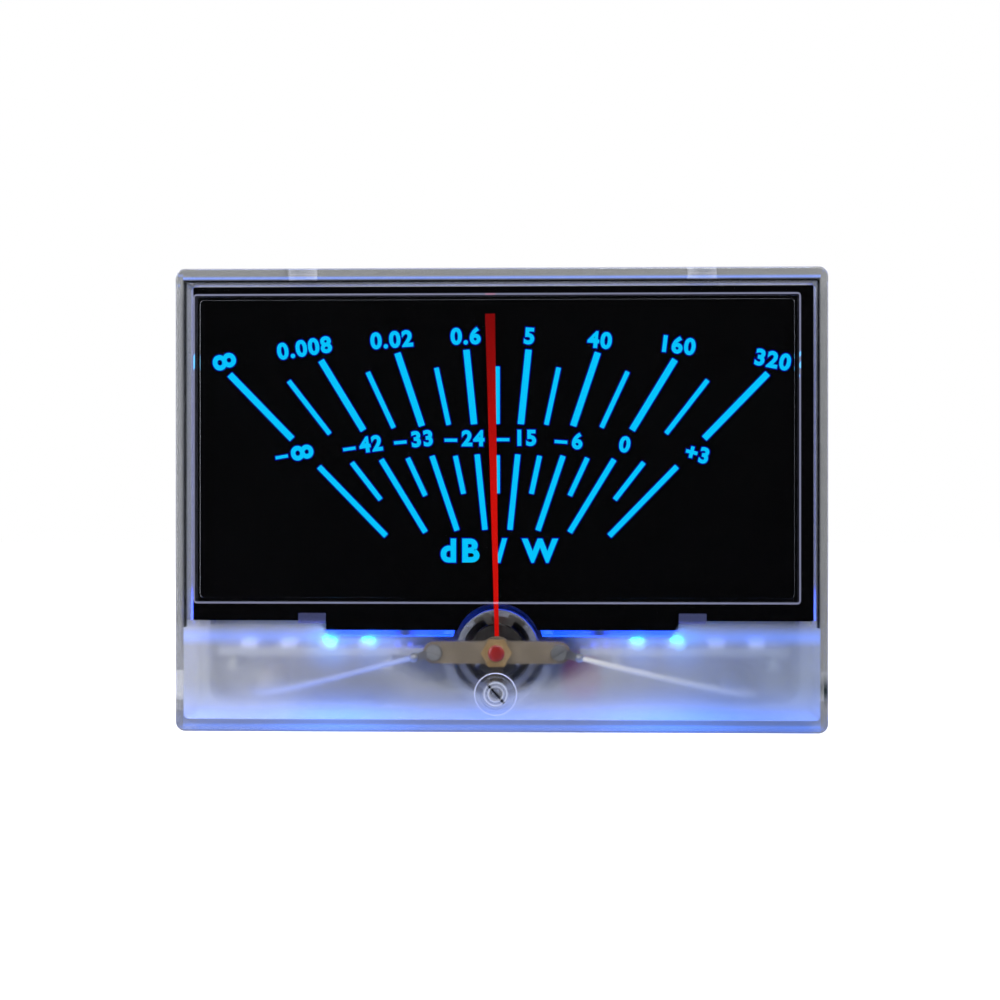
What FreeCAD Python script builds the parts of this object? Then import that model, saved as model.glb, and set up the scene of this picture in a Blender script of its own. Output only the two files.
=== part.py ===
import FreeCAD, Part
import math
import os

from FreeCAD import Vector

# Analog level meter: a clear case front over an edge-lit black dial, and a core-magnet moving-coil
# movement whose pointer sweeps in front of the dial.
# X runs to the right seen from the front, Y runs back into the meter, Z is up, all in millimetres.
# Depths are measured back from the seat face, the flat front of the case round its raised window.
# The finished solids are moved so that the origin is under the middle of the whole meter.

# ---------------------------------------------------------------- case
CASE_WIDTH = 134.0
CASE_HEIGHT = 95.4
CORNER_RADIUS = 2.0
COVER_DEPTH = 22.0              # seat face to the joint with the rear housing
FRONT_WALL = 2.0
SIDE_WALL = 1.5
TOP_WALL = 2.5                  # also the bottom wall, which the meter stands on
COVER_EDGE = 0.5                # rounding of the front's outer edge
CAVITY_CORNER = 1.0
AXIS_X = -0.9                   # window, scale and movement sit this far off the case's middle

WINDOW_WIDTH = 124.6
WINDOW_HEIGHT = 63.7
WINDOW_BOTTOM = 26.4
WINDOW_PROUD = 0.6
WINDOW_CORNER = 0.8
WINDOW_EDGE = 0.4               # the raised window's front edge is bevelled by this
WINDOW_STEP = 1.2               # the recess behind the window is this much smaller all round

EJECTOR_X = 58.5                # marks that the mould's ejector pins left inside the front wall
EJECTOR_Z = 16.5
EJECTOR_RADIUS = 2.0
EJECTOR_DEPTH = 0.15

# ---------------------------------------------------------------- zero adjuster in the case front
ADJUSTER_Z = 7.9
BOSS_RADIUS = 4.4
BOSS_PROUD = 0.5
BOSS_EDGE = 0.2                 # bevel of the boss's front edge
BOSS_INNER_RADIUS = 3.3
BOSS_INNER_REACH = 2.2          # how far the boss stands behind the front wall
ADJUSTER_HEAD_RADIUS = 2.6
ADJUSTER_HEAD_DEPTH = 1.1
ADJUSTER_STEM_RADIUS = 1.5
ADJUSTER_FIT = 0.05             # running clearance of the stem in its bore
ADJUSTER_PLAY = 0.1             # end play of the adjuster, and clearance round its head
ADJUSTER_SLOT_WIDTH = 0.8
ADJUSTER_SLOT_DEPTH = 0.7
ADJUSTER_SLOT_TURN = 48.0       # degrees below level, falling to the right
CRANK_RADIUS = 2.3
CRANK_THICKNESS = 0.6
CRANK_THROW = 1.1
CRANK_PIN_RADIUS = 0.5

# ---------------------------------------------------------------- dial, light guide and clips
DIAL_DEPTH = 11.3
DIAL_THICKNESS = 0.4
GUIDE_THICKNESS = 3.0
GUIDE_DROP = 1.3                # between the clips its lit edge stands this far below the dial
REFLECTOR_THICKNESS = 0.3
DIAL_GAP = 0.25                 # between the dial's edge and the case's walls
DIAL_BOTTOM = 20.3              # between the clips
DIAL_SHOULDER = 22.3            # outside the clips, where the edge is stepped up
CLIP_X = 40.0
CLIP_WIDTH = 5.8
CLIP_TOP = 23.9
CLIP_SHEET = 0.6
CLIP_REAR_RISE = 2.0            # the rear leg is this much taller than the front one
ARCH_GAP = 0.5                  # the dial's cut-out over the movement clears the yoke ring by this
ARCH_RISE = 0.9                 # and is centred this far above the pointer's axis
GUIDE_STEP = 0.6                # the light guide's cut-out is this much larger
DIAL_CORNER = 0.4

# ---------------------------------------------------------------- movement, about the pointer's axis
PIVOT_Z = 16.0
CORE_RADIUS = 5.7
CORE_LENGTH = 7.8
CORE_AHEAD = 0.1                # the core's front face stands this far ahead of the dial's
CORE_CHAMFER = 0.3
AIR_GAP_INNER = 0.4             # core to coil former
AIR_GAP_OUTER = 0.45            # coil winding to yoke ring
FORMER_WALL = 0.2
FORMER_WIDTH = 1.8
WINDING_BUILD = 0.5
WINDING_WIDTH = 1.4
WINDING_CORNER = 0.4
RING_WALL = 1.35
HOLDER_ANGLES = (86.0, 270.0)
HOLDER_HALF_ANGLE = 26.0
HOLDER_SETBACK = 0.3            # from the ring's two faces
HOLDER_LUG_INSET = 0.4          # from the ring's outer edge and from the core
HOLDER_LUG = 0.5                # the upper holder's two lugs stand proud of the ring by this
HOLDER_LUG_GAP = 28.0           # degrees of open space between those lugs
HOLDER_LUG_SPAN = 28.0          # degrees that each lug runs along the ring, past the coil's path

HUB_FLANGE_RADIUS = 1.6
HUB_FLANGE = 0.4
HUB_RADIUS = 0.9
BALANCE_SHEET = 0.3
BALANCE_REACH = 5.6
BALANCE_ARM_WIDTH = 0.7
BALANCE_ANGLES = (210.0, 270.0, 330.0)
WEIGHT_RADIUS = 0.5
WEIGHT_LENGTH = 1.0
WEIGHT_AT = 4.5
PIVOT_PIN_RADIUS = 0.3
PIVOT_PIN_REACH = 0.15          # the pin's straight part, beyond the hub
PIVOT_CONE = 0.25
PIVOT_TIP_RADIUS = 0.03
JEWEL_RADIUS = 0.8
JEWEL_THICKNESS = 0.7
JEWEL_CUP_RADIUS = 0.45
JEWEL_CUP_DEPTH = 0.4
JEWEL_CUP_FLOOR = 0.05          # radius at the bottom of the cup
JEWEL_GAP = 0.1                 # end of the hub to the jewel's face

POINTER_LENGTH = 70.7
POINTER_SHEET = 0.3
POINTER_ROOT_WIDTH = 0.8
POINTER_TIP_WIDTH = 2.06
POINTER_EYE_RADIUS = 1.6
POINTER_REST = -1.2             # degrees from upright, to the left, as the meter lies at rest here
POINTER_LIMIT = 46.0            # degrees each side of upright
STOP_RADIUS = 0.3
STOP_AHEAD = 0.25               # the stops reach this far in front of the pointer
STOP_CLEARANCE = 0.05

SPRING_STRIP = 0.12
SPRING_HEIGHT = 0.4
SPRING_TURNS = 4
SPRING_GAP = 0.2                # between a hairspring and what turns beside it
SPRING_TAIL = 0.9
ANCHOR_RADIUS = 3.65            # where the springs' outer ends are held
ANCHOR_SHEET = 0.4
ANCHOR_WIDTH = 1.2

SCREW_RADIUS = 1.75             # the two jewel screws
SCREW_REACH = 0.7               # how far a jewel screw stands through its bridge
SCREW_LENGTH = 4.4
SCREW_SLOT_WIDTH = 0.6
SCREW_SLOT_DEPTH = 0.7
SCREW_SLOT_TURN = 30.0
LACQUER_HEIGHT = 0.4
NUT_ACROSS_FLATS = 5.6
NUT_THICKNESS = 0.9
LEVER_SHEET = 0.45
LEVER_GAP = 0.1                 # between the zero lever and the bridge and nut beside it
LEVER_RING_RADIUS = 2.9
LEVER_FIT = 0.05
LEVER_FORK_REACH = 8.5
LEVER_FORK_ROOT = 5.9
LEVER_FORK_WIDTH = 2.6
LEVER_SLOT_CLEARANCE = 0.12

BRIDGE_LENGTH = 30.6
BRIDGE_WIDTH = 4.6
BRIDGE_THICKNESS = 1.6
BRIDGE_PAD_RADIUS = 3.3
PILLAR_X = 13.0
PILLAR_RADIUS = 1.9
BRIDGE_SCREW_RADIUS = 0.8
BRIDGE_SCREW_HEAD = 1.5
BRIDGE_SCREW_HEAD_HEIGHT = 0.9
BRIDGE_SCREW_DEPTH = 5.0
BRIDGE_SLOT = 0.45              # width and depth of the heads' slots
BRIDGE_SLOT_TURNS = (20.0, -35.0)
SCREW_END_GAP = 0.5             # between a screw's end and the bottom of its hole
TAG_SHEET = 0.3
TAG_RING_RADIUS = 1.7
TAG_REACH = 4.3
TAG_WIDTH = 1.6
TAG_DROP = 14.0                 # degrees that the tags slope down, outwards

FRAME_THICKNESS = 2.0
FRAME_GAP = 1.1                 # rear jewel's face to the frame's plate
FRAME_CLEARANCE = 0.4           # frame to the well it sits in
LUG_SEAT = 2.2                  # how far the frame's lugs reach in from the yoke ring's outer edge

# ---------------------------------------------------------------- rear housing
FLANGE_THICKNESS = 2.0
LIP_REACH = 3.5
LIP_FIT = 0.15
FRAME_BOSS_HEIGHT = 1.6         # what the movement frame stands on, inside the housing's back
HOUSING_WALL = 2.0
HOUSING_SIDE = 1.8
HOUSING_INSET_X = 4.0           # case's side to the housing's inner side
HOUSING_INSET_Z = 4.4           # the same above and below
HOUSING_CORNER = 3.2
TRAY_EDGE = 0.8
WELL_MARGIN = 1.6               # yoke ring to the well round it
WELL_WALL = 2.0
WELL_GAP = 0.4                  # light guide's back to the well's rim
NOTCH_HALF_HEIGHT = 3.3
BULGE_RADIUS = 9.0
BULGE_REACH = 4.0
BULGE_WALL = 1.8
BULGE_EDGE = 0.8
BOSS_SCREW_RADIUS = 2.6
POST_RADIUS = 2.5
POST_PIN_RADIUS = 1.25
POST_PIN_REACH = 2.8
POST_PIN_FIT = 0.1
POST_X = 56.0
POST_LOW_Z = 30.0
POST_HIGH_Z = 86.0
SNAP_LENGTH = 5.8
SNAP_DEPTH = 2.0
SNAP_PROUD = 1.0
SNAP_CLEARANCE = 0.15
SNAP_SETBACK = 3.0              # joint to the snap's holding face
SNAP_LAND = 0.5                 # flat top of the hook, behind its ramp
SNAP_SIDE_Z = 8.7               # height of the snap in each side wall
SNAP_TOP_X = 42.0               # distance of the top wall's two snaps from its middle

FRAME_SCREW_RADIUS = 1.0
FRAME_SCREW_HEAD = 1.9
FRAME_SCREW_HEAD_HEIGHT = 1.2
FRAME_SCREW_BITE = 5.0
FRAME_SLOT = 0.5
FRAME_SLOT_TURNS = (65.0, 10.0)

# ---------------------------------------------------------------- lamp boards
BOARD_INNER_X = 16.5
BOARD_OUTER_X = 60.0
BOARD_AHEAD = 0.8               # the boards' front edge stands this far ahead of the dial
BOARD_WIDTH = 6.0
BOARD_Z = 15.0
BOARD_THICKNESS = 1.6
LED_PITCH = 8.33
LED_FIRST_X = 28.4
LED_COUNT = 4
LED_LENGTH = 3.5
LED_WIDTH = 2.8
LED_HEIGHT = 1.6
RESISTOR_LENGTH = 2.0
RESISTOR_WIDTH = 1.25
RESISTOR_HEIGHT = 0.5
RESISTOR_SETBACK = 0.4          # from the board's rear edge
RIB_X = (24.0, 57.0)
RIB_THICKNESS = 1.5
RIB_HEIGHT = 3.0
RIB_SETBACK = 1.0               # from the board's front edge
PEG_RADIUS = 0.7
PEG_SETBACK = 1.3               # from the board's rear edge
PEG_STANDS = 0.6
LAMP_PIN_SIZE = 0.64
LAMP_PIN_X = 19.5
LAMP_PIN_PITCH = 2.54
LAMP_PINS_EACH = 2              # on each board
LAMP_PIN_REACH = 6.0            # behind the housing's back
LAMP_PIN_SLOT = 0.15

# ---------------------------------------------------------------- terminals and leads
TERMINAL_X = 50.0
TERMINAL_Z = 9.0
STUD_RADIUS = 1.5               # the free end, for the wiring's ring lugs
STUD_REACH = 9.0
STUD_SHANK_RADIUS = 2.0         # through the housing and its nut
STUD_SHANK_SHOWS = 0.4          # how far the thicker shank stands out of the nut
STUD_HEAD_RADIUS = 3.4
STUD_HEAD_HEIGHT = 1.8
STUD_CHAMFER = 0.3
STUD_HOLE_FIT = 0.1
WASHER_RADIUS = 4.2
WASHER_THICKNESS = 0.5
TERMINAL_NUT_FLATS = 7.0
TERMINAL_NUT_THICKNESS = 2.2
TERMINAL_TAG_SHEET = 0.4
TERMINAL_TAG_RING = 3.6
TERMINAL_TAG_X = 54.3
TERMINAL_TAG_Z = 6.3
TERMINAL_TAG_WIDTH = 2.4
LEAD_RADIUS = 0.5
LEAD_FIRST_RUN = 8.5            # in line with the tag that the lead is soldered to
LEAD_LAST_RUN = 5.6             # straight back to the terminal's tag
LEAD_BEND_SHARE = 0.45          # share of the shorter run beside a bend that the bend takes up
# The middle of a lead's route between its two tags: distance out to the side, depth, height.
LEAD_ROUTE = (
    (38.0, 9.0, 9.6),
    (49.0, 13.6, 7.0),
)

# ---------------------------------------------------------------- how the solids are cut and joined
OVERCUT = 1.0                   # cutters run this far past the faces they cut through
SINK = 0.5                      # pieces of one solid run this far into one another
TOUCH = 0.01                    # two places closer than this are the same

# ---------------------------------------------------------------- places worked out from those sizes
CAVITY_X = CASE_WIDTH / 2 - SIDE_WALL
CAVITY_TOP = CASE_HEIGHT - TOP_WALL
STACK_REAR = DIAL_DEPTH + DIAL_THICKNESS + GUIDE_THICKNESS + REFLECTOR_THICKNESS
DIAL_TOP = CAVITY_TOP - DIAL_GAP
ARCH_Z = PIVOT_Z + ARCH_RISE
BOARD_FRONT = DIAL_DEPTH - BOARD_AHEAD

CORE_FRONT = DIAL_DEPTH - CORE_AHEAD
CORE_REAR = CORE_FRONT + CORE_LENGTH
FORMER_INNER = CORE_RADIUS + AIR_GAP_INNER
FORMER_OUTER = FORMER_INNER + FORMER_WALL
WINDING_OUTER = FORMER_OUTER + WINDING_BUILD
RING_INNER = WINDING_OUTER + AIR_GAP_OUTER
RING_OUTER = RING_INNER + RING_WALL
STOP_AT = (RING_INNER + RING_OUTER) / 2
ARCH_RADIUS = RING_OUTER + ARCH_GAP
WELL_RADIUS = RING_OUTER + WELL_MARGIN
COIL_FRONT = CORE_FRONT - AIR_GAP_INNER - FORMER_WALL - WINDING_BUILD
COIL_REAR = CORE_REAR + AIR_GAP_INNER + FORMER_WALL + WINDING_BUILD

BALANCE_REAR = COIL_FRONT - HUB_FLANGE
POINTER_REAR = BALANCE_REAR - BALANCE_SHEET
POINTER_FRONT = POINTER_REAR - POINTER_SHEET
FRONT_SPRING_REAR = POINTER_FRONT - SPRING_GAP
FRONT_HUB_END = FRONT_SPRING_REAR - SPRING_HEIGHT - JEWEL_GAP
FRONT_JEWEL_FACE = FRONT_HUB_END - JEWEL_GAP
BRIDGE_REAR = FRONT_JEWEL_FACE - SCREW_REACH
BRIDGE_FRONT = BRIDGE_REAR - BRIDGE_THICKNESS
LEVER_REAR = BRIDGE_FRONT - LEVER_GAP
LEVER_FRONT = LEVER_REAR - LEVER_SHEET
NUT_REAR = LEVER_FRONT - LEVER_GAP
FRONT_SCREW_END = FRONT_JEWEL_FACE - SCREW_LENGTH

REAR_SPRING_FRONT = COIL_REAR + HUB_FLANGE + SPRING_GAP
REAR_HUB_END = REAR_SPRING_FRONT + SPRING_HEIGHT + JEWEL_GAP
REAR_JEWEL_FACE = REAR_HUB_END + JEWEL_GAP
FRAME_FRONT = REAR_JEWEL_FACE + FRAME_GAP
FRAME_REAR = FRAME_FRONT + FRAME_THICKNESS
FRAME_RADIUS = WELL_RADIUS - FRAME_CLEARANCE
ARM_REACH = PILLAR_X + BRIDGE_WIDTH / 2
BACK_INNER = FRAME_REAR + FRAME_BOSS_HEIGHT
HOUSING_DEPTH = BACK_INNER + HOUSING_WALL
FLANGE_REAR = COVER_DEPTH + FLANGE_THICKNESS
INNER_X = CASE_WIDTH / 2 - HOUSING_INSET_X
INNER_BOTTOM = HOUSING_INSET_Z
INNER_TOP = CASE_HEIGHT - HOUSING_INSET_Z
BOARD_TOP = BOARD_Z + BOARD_THICKNESS
ADJUSTER_SEAT = ADJUSTER_HEAD_DEPTH - BOSS_PROUD
BOSS_REAR = FRONT_WALL + BOSS_INNER_REACH
CRANK_FRONT = BOSS_REAR + ADJUSTER_PLAY
WASHER_REAR = HOUSING_DEPTH + WASHER_THICKNESS
TERMINAL_NUT_REAR = WASHER_REAR + TERMINAL_NUT_THICKNESS
STUD_END = HOUSING_DEPTH + STUD_REACH
MIDDLE_DEPTH = (STUD_END - WINDOW_PROUD) / 2

DEPTH_WAY = Vector(0, 1, 0)
HEIGHT_WAY = Vector(0, 0, 1)


# ---------------------------------------------------------------- helpers
def slab(x0, x1, front, rear, z0, z1):
    """Rectangular block between two corners."""
    return Part.makeBox(x1 - x0, rear - front, z1 - z0, Vector(x0, front, z0))


def soft_slab(x0, x1, front, rear, z0, z1, radius):
    """Block whose four edges along the depth are rounded."""
    block = slab(x0, x1, front, rear, z0, z1)
    return block.makeFillet(radius, edges_along(block, DEPTH_WAY))


def edges_along(shape, way):
    """The straight edges of a block that run one way."""
    return [e for e in shape.Edges if abs(e.tangentAt(e.FirstParameter).dot(way)) > 1 - TOUCH]


def edges_at(shape, depth):
    """The edges that lie wholly at one depth."""
    return [e for e in shape.Edges if abs(e.BoundBox.YMin - depth) + abs(e.BoundBox.YMax - depth) < TOUCH]


def rod(radius, front, rear, x=AXIS_X, z=PIVOT_Z):
    """Cylinder along the depth, on the pointer's axis unless placed elsewhere."""
    return Part.makeCylinder(radius, rear - front, Vector(x, front, z), DEPTH_WAY)


def tube(outer, inner, front, rear, x=AXIS_X, z=PIVOT_Z):
    """Ring along the depth."""
    return rod(outer, front, rear, x, z).cut(rod(inner, front, rear, x, z))


def hexagon(across_flats, front, rear, x=AXIS_X, z=PIVOT_Z):
    """Six-sided prism along the depth, with two flats level."""
    reach = across_flats / math.sqrt(3)
    corners = [polar(reach, 60 * step, front, x, z) for step in range(7)]
    return Part.Face(Part.makePolygon(corners)).extrude(DEPTH_WAY * (rear - front))


def polar(radius, angle, depth, x=AXIS_X, z=PIVOT_Z):
    """Point at a radius and an angle in degrees, counted up from the right."""
    turn = math.radians(angle)
    return Vector(x + radius * math.cos(turn), depth, z + radius * math.sin(turn))


def sector(outer, inner, middle, half_angle, front, rear):
    """Piece of a ring between two angles about the pointer's axis."""
    arcs = []
    for radius, first in ((outer, -half_angle), (inner, half_angle)):
        ends = [polar(radius, middle + first * sign, front) for sign in (1, 0, -1)]
        arcs.append(Part.Arc(*ends).toShape())
    rim, root = arcs
    sides = []
    for angle in (middle - half_angle, middle + half_angle):
        sides.append(Part.makeLine(polar(outer, angle, front), polar(inner, angle, front)))
    outline = Part.Wire(Part.__sortEdges__([rim, root] + sides))
    return Part.Face(outline).extrude(DEPTH_WAY * (rear - front))


def turned(shape, degrees, x=AXIS_X, z=PIVOT_Z):
    """The shape turned clockwise, seen from the front, about an axis along the depth."""
    copy = shape.copy()
    copy.rotate(Vector(x, 0, z), DEPTH_WAY, degrees)
    return copy


def joined(shapes):
    """One solid of pieces that meet."""
    return shapes[0].multiFuse(shapes[1:]).removeSplitter()


def group(shapes):
    """Separate solids kept in one node."""
    return Part.makeCompound(shapes)


def mirrored(shape):
    """The same piece on the other side of the case's middle."""
    return shape.mirror(Vector(0, 0, 0), Vector(1, 0, 0))


def slotted(screw, head_radius, face, width, depth, turn, x=AXIS_X, z=PIVOT_Z):
    """A screw with a driver slot cut into the head that ends at this depth."""
    reach = head_radius + OVERCUT
    slot = slab(x - reach, x + reach, face, face + depth, z - width / 2, z + width / 2)
    return screw.cut(turned(slot, turn, x, z))


def swept_lead(route, radius):
    """Round lead along straight runs joined by tangent arcs."""
    points = [Vector(*p) for p in route]
    edges = []
    start = points[0]
    for before, corner, after in zip(points, points[1:], points[2:]):
        run_in = corner - before
        run_out = after - corner
        half_turn = run_in.getAngle(run_out) / 2
        back = LEAD_BEND_SHARE * min(run_in.Length, run_out.Length)
        bend = back / math.tan(half_turn)
        way_in = run_in.normalize()
        way_out = run_out.normalize()
        first = corner - way_in * back
        last = corner + way_out * back
        inward = (way_out - way_in).normalize()
        middle = corner + inward * (bend / math.cos(half_turn) - bend)
        edges.append(Part.makeLine(start, first))
        edges.append(Part.Arc(first, middle, last).toShape())
        start = last
    edges.append(Part.makeLine(start, points[-1]))
    path = Part.Wire(edges)
    section = Part.Wire(Part.makeCircle(radius, points[0], points[1] - points[0]))
    return path.makePipeShell([section], True, False)


# ---------------------------------------------------------------- case front
def window_x():
    """Left and right edge of the raised window."""
    return AXIS_X - WINDOW_WIDTH / 2, AXIS_X + WINDOW_WIDTH / 2


def snapped(piece):
    """A piece made at the right wall, height nought, brought to the two side and the two top snaps."""
    side = piece.translated(HEIGHT_WAY * SNAP_SIDE_Z)
    top = turned(piece, -90.0, 0.0, 0.0).translated(Vector(SNAP_TOP_X, 0, CAVITY_TOP - CAVITY_X))
    return [side, mirrored(side), top, mirrored(top)]


def front_cover():
    """Clear moulded box, open at the back, with a raised window and a bored boss."""
    half = CASE_WIDTH / 2
    shell = soft_slab(-half, half, 0, COVER_DEPTH, 0, CASE_HEIGHT, CORNER_RADIUS)
    shell = shell.makeFillet(COVER_EDGE, edges_at(shell, 0))
    left, right = window_x()
    top = WINDOW_BOTTOM + WINDOW_HEIGHT
    window = soft_slab(left, right, -WINDOW_PROUD, FRONT_WALL, WINDOW_BOTTOM, top, WINDOW_CORNER)
    window = window.makeChamfer(WINDOW_EDGE, edges_at(window, -WINDOW_PROUD))
    boss = rod(BOSS_RADIUS, -BOSS_PROUD, FRONT_WALL, z=ADJUSTER_Z)
    boss = boss.makeChamfer(BOSS_EDGE, edges_at(boss, -BOSS_PROUD))
    inner_boss = rod(BOSS_INNER_RADIUS, FRONT_WALL, BOSS_REAR, z=ADJUSTER_Z)
    cavity = soft_slab(-CAVITY_X, CAVITY_X, FRONT_WALL, COVER_DEPTH, TOP_WALL, CAVITY_TOP, CAVITY_CORNER)
    recess = soft_slab(
        left + WINDOW_STEP, right - WINDOW_STEP, FRONT_WALL - WINDOW_PROUD, FRONT_WALL + OVERCUT,
        WINDOW_BOTTOM + WINDOW_STEP, top - WINDOW_STEP, WINDOW_CORNER,
    )
    shell = shell.fuse([window, boss]).cut([cavity, recess]).fuse(inner_boss)
    ahead = -BOSS_PROUD - OVERCUT
    stem_bore = rod(ADJUSTER_STEM_RADIUS + ADJUSTER_FIT, ahead, BOSS_REAR + OVERCUT, z=ADJUSTER_Z)
    head_bore = rod(ADJUSTER_HEAD_RADIUS + ADJUSTER_PLAY, ahead, ADJUSTER_SEAT, z=ADJUSTER_Z)
    return shell.cut([stem_bore, head_bore] + snap_windows() + ejector_marks()).removeSplitter()


def snap_windows():
    """Openings in the cover's walls that the housing's hooks click into."""
    rear = COVER_DEPTH - SNAP_SETBACK + SNAP_CLEARANCE
    front = rear - SNAP_DEPTH - 2 * SNAP_CLEARANCE
    reach = SNAP_LENGTH / 2 + SNAP_CLEARANCE
    outside = CAVITY_X + TOP_WALL + OVERCUT
    return snapped(slab(CAVITY_X - OVERCUT, outside, front, rear, -reach, reach))


def ejector_marks():
    """Shallow round marks low down on the inside of the front wall."""
    front = FRONT_WALL - EJECTOR_DEPTH
    right = rod(EJECTOR_RADIUS, front, FRONT_WALL + OVERCUT, EJECTOR_X, EJECTOR_Z)
    return [right, mirrored(right)]


def zero_adjuster():
    """Slotted plastic screw with a crank and pin behind the front wall."""
    head = rod(ADJUSTER_HEAD_RADIUS, -BOSS_PROUD, ADJUSTER_SEAT - ADJUSTER_PLAY, z=ADJUSTER_Z)
    stem = rod(ADJUSTER_STEM_RADIUS, -BOSS_PROUD, CRANK_FRONT, z=ADJUSTER_Z)
    crank = rod(CRANK_RADIUS, CRANK_FRONT, CRANK_FRONT + CRANK_THICKNESS, z=ADJUSTER_Z)
    pin = rod(CRANK_PIN_RADIUS, CRANK_FRONT, BRIDGE_FRONT, z=ADJUSTER_Z + CRANK_THROW)
    screw = joined([head, stem, crank, pin])
    return slotted(
        screw, ADJUSTER_HEAD_RADIUS, -BOSS_PROUD, ADJUSTER_SLOT_WIDTH, ADJUSTER_SLOT_DEPTH,
        ADJUSTER_SLOT_TURN, z=ADJUSTER_Z,
    )


def zero_lever():
    """Forked sheet lever round the front jewel screw, with the front spring's anchor bent back."""
    ring = tube(LEVER_RING_RADIUS, SCREW_RADIUS + LEVER_FIT, LEVER_FRONT, LEVER_REAR)
    half = LEVER_FORK_WIDTH / 2
    arm = slab(
        AXIS_X - half, AXIS_X + half, LEVER_FRONT, LEVER_REAR,
        PIVOT_Z - LEVER_FORK_REACH, PIVOT_Z - LEVER_RING_RADIUS + SINK,
    )
    slot_half = CRANK_PIN_RADIUS + LEVER_SLOT_CLEARANCE
    slot = slab(
        AXIS_X - slot_half, AXIS_X + slot_half, LEVER_FRONT, LEVER_REAR,
        PIVOT_Z - LEVER_FORK_REACH - OVERCUT, PIVOT_Z - LEVER_FORK_ROOT,
    )
    anchor = anchor_tab(LEVER_FRONT, FRONT_SPRING_REAR)
    return joined([ring, arm, anchor]).cut(slot)


def anchor_tab(front, rear):
    """Upright tab under the axis that a hairspring's outer end is soldered to."""
    top = PIVOT_Z - ANCHOR_RADIUS
    half = ANCHOR_WIDTH / 2
    return slab(AXIS_X - half, AXIS_X + half, front, rear, top - ANCHOR_SHEET, top)


# ---------------------------------------------------------------- dial and its light
def stack_plate(front, rear, arch_radius, drop=0.0):
    """Plate of the dial's outline: stepped lower edge and an arch over the movement."""
    half = CAVITY_X - DIAL_GAP
    tongue = CLIP_X - CLIP_WIDTH / 2
    upper = soft_slab(-half, half, front, rear, DIAL_SHOULDER, DIAL_TOP, DIAL_CORNER)
    lower = slab(-tongue, tongue, front, rear, DIAL_BOTTOM - drop, DIAL_SHOULDER)
    return joined([upper, lower]).cut(rod(arch_radius, front, rear, z=ARCH_Z)).removeSplitter()


def post_places():
    """Side and height of the four posts that carry the dial stack."""
    return [(side * POST_X, height) for side in (-1, 1) for height in (POST_LOW_Z, POST_HIGH_Z)]


def dial_plate():
    """Thin black dial, laid on the light guide."""
    return stack_plate(DIAL_DEPTH, DIAL_DEPTH + DIAL_THICKNESS, ARCH_RADIUS)


def light_guide():
    """Clear slab that carries the lamps' light up behind the dial."""
    front = DIAL_DEPTH + DIAL_THICKNESS
    guide = stack_plate(front, front + GUIDE_THICKNESS, ARCH_RADIUS + GUIDE_STEP, GUIDE_DROP)
    return guide.cut(post_holes(front, front + GUIDE_THICKNESS))


def reflector_sheet():
    """White sheet behind the light guide."""
    sheet = stack_plate(STACK_REAR - REFLECTOR_THICKNESS, STACK_REAR, ARCH_RADIUS + GUIDE_STEP)
    return sheet.cut(post_holes(STACK_REAR - REFLECTOR_THICKNESS, STACK_REAR))


def post_holes(front, rear):
    """Clearance holes for the posts' pins."""
    return [rod(POST_PIN_RADIUS + POST_PIN_FIT, front, rear, x, z) for x, z in post_places()]


def dial_clips():
    """Two clear U-shaped clips that pinch the dial, light guide and reflector together."""
    half = CLIP_WIDTH / 2
    left, right = CLIP_X - half, CLIP_X + half
    bottom = DIAL_SHOULDER - CLIP_SHEET
    front_leg = slab(left, right, DIAL_DEPTH - CLIP_SHEET, DIAL_DEPTH, bottom, CLIP_TOP)
    rear_leg = slab(left, right, STACK_REAR, STACK_REAR + CLIP_SHEET, bottom, CLIP_TOP + CLIP_REAR_RISE)
    web = slab(left, right, DIAL_DEPTH - CLIP_SHEET, STACK_REAR + CLIP_SHEET, bottom, DIAL_SHOULDER)
    clip = joined([front_leg, rear_leg, web])
    return group([clip, mirrored(clip)])


def lamp_board():
    """Right-hand lamp board, lying flat under the light guide."""
    board = slab(BOARD_INNER_X, BOARD_OUTER_X, BOARD_FRONT, BOARD_FRONT + BOARD_WIDTH, BOARD_Z, BOARD_TOP)
    holes = [peg(x, PEG_RADIUS + POST_PIN_FIT) for x in RIB_X]
    return board.cut(holes)


def peg(x, radius):
    """Upright peg, or its hole, near a lamp board's rear edge."""
    depth = BOARD_FRONT + BOARD_WIDTH - PEG_SETBACK
    return Part.makeCylinder(radius, BOARD_THICKNESS + PEG_STANDS, Vector(x, depth, BOARD_Z))


def led_places():
    """Distances of the lamps out from the case's middle."""
    return [LED_FIRST_X + LED_PITCH * step for step in range(LED_COUNT)]


def leds():
    """Lamps facing up into the light guide's lower edge."""
    middle = DIAL_DEPTH + DIAL_THICKNESS + GUIDE_THICKNESS / 2
    lamps = []
    for x in led_places():
        lamp = slab(
            x - LED_LENGTH / 2, x + LED_LENGTH / 2, middle - LED_WIDTH / 2, middle + LED_WIDTH / 2,
            BOARD_TOP, BOARD_TOP + LED_HEIGHT,
        )
        lamps += [lamp, mirrored(lamp)]
    return group(lamps)


def resistors():
    """One chip resistor between each pair of lamps, on each board."""
    depth = BOARD_FRONT + BOARD_WIDTH - RESISTOR_WIDTH - RESISTOR_SETBACK
    chips = []
    for x in led_places()[::2]:
        middle = x + LED_PITCH / 2
        chip = slab(
            middle - RESISTOR_LENGTH / 2, middle + RESISTOR_LENGTH / 2, depth, depth + RESISTOR_WIDTH,
            BOARD_TOP, BOARD_TOP + RESISTOR_HEIGHT,
        )
        chips += [chip, mirrored(chip)]
    return group(chips)


def lamp_pin_places():
    """Distances of each board's supply pins from the case's middle."""
    return [LAMP_PIN_X + LAMP_PIN_PITCH * step for step in range(LAMP_PINS_EACH)]


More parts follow.
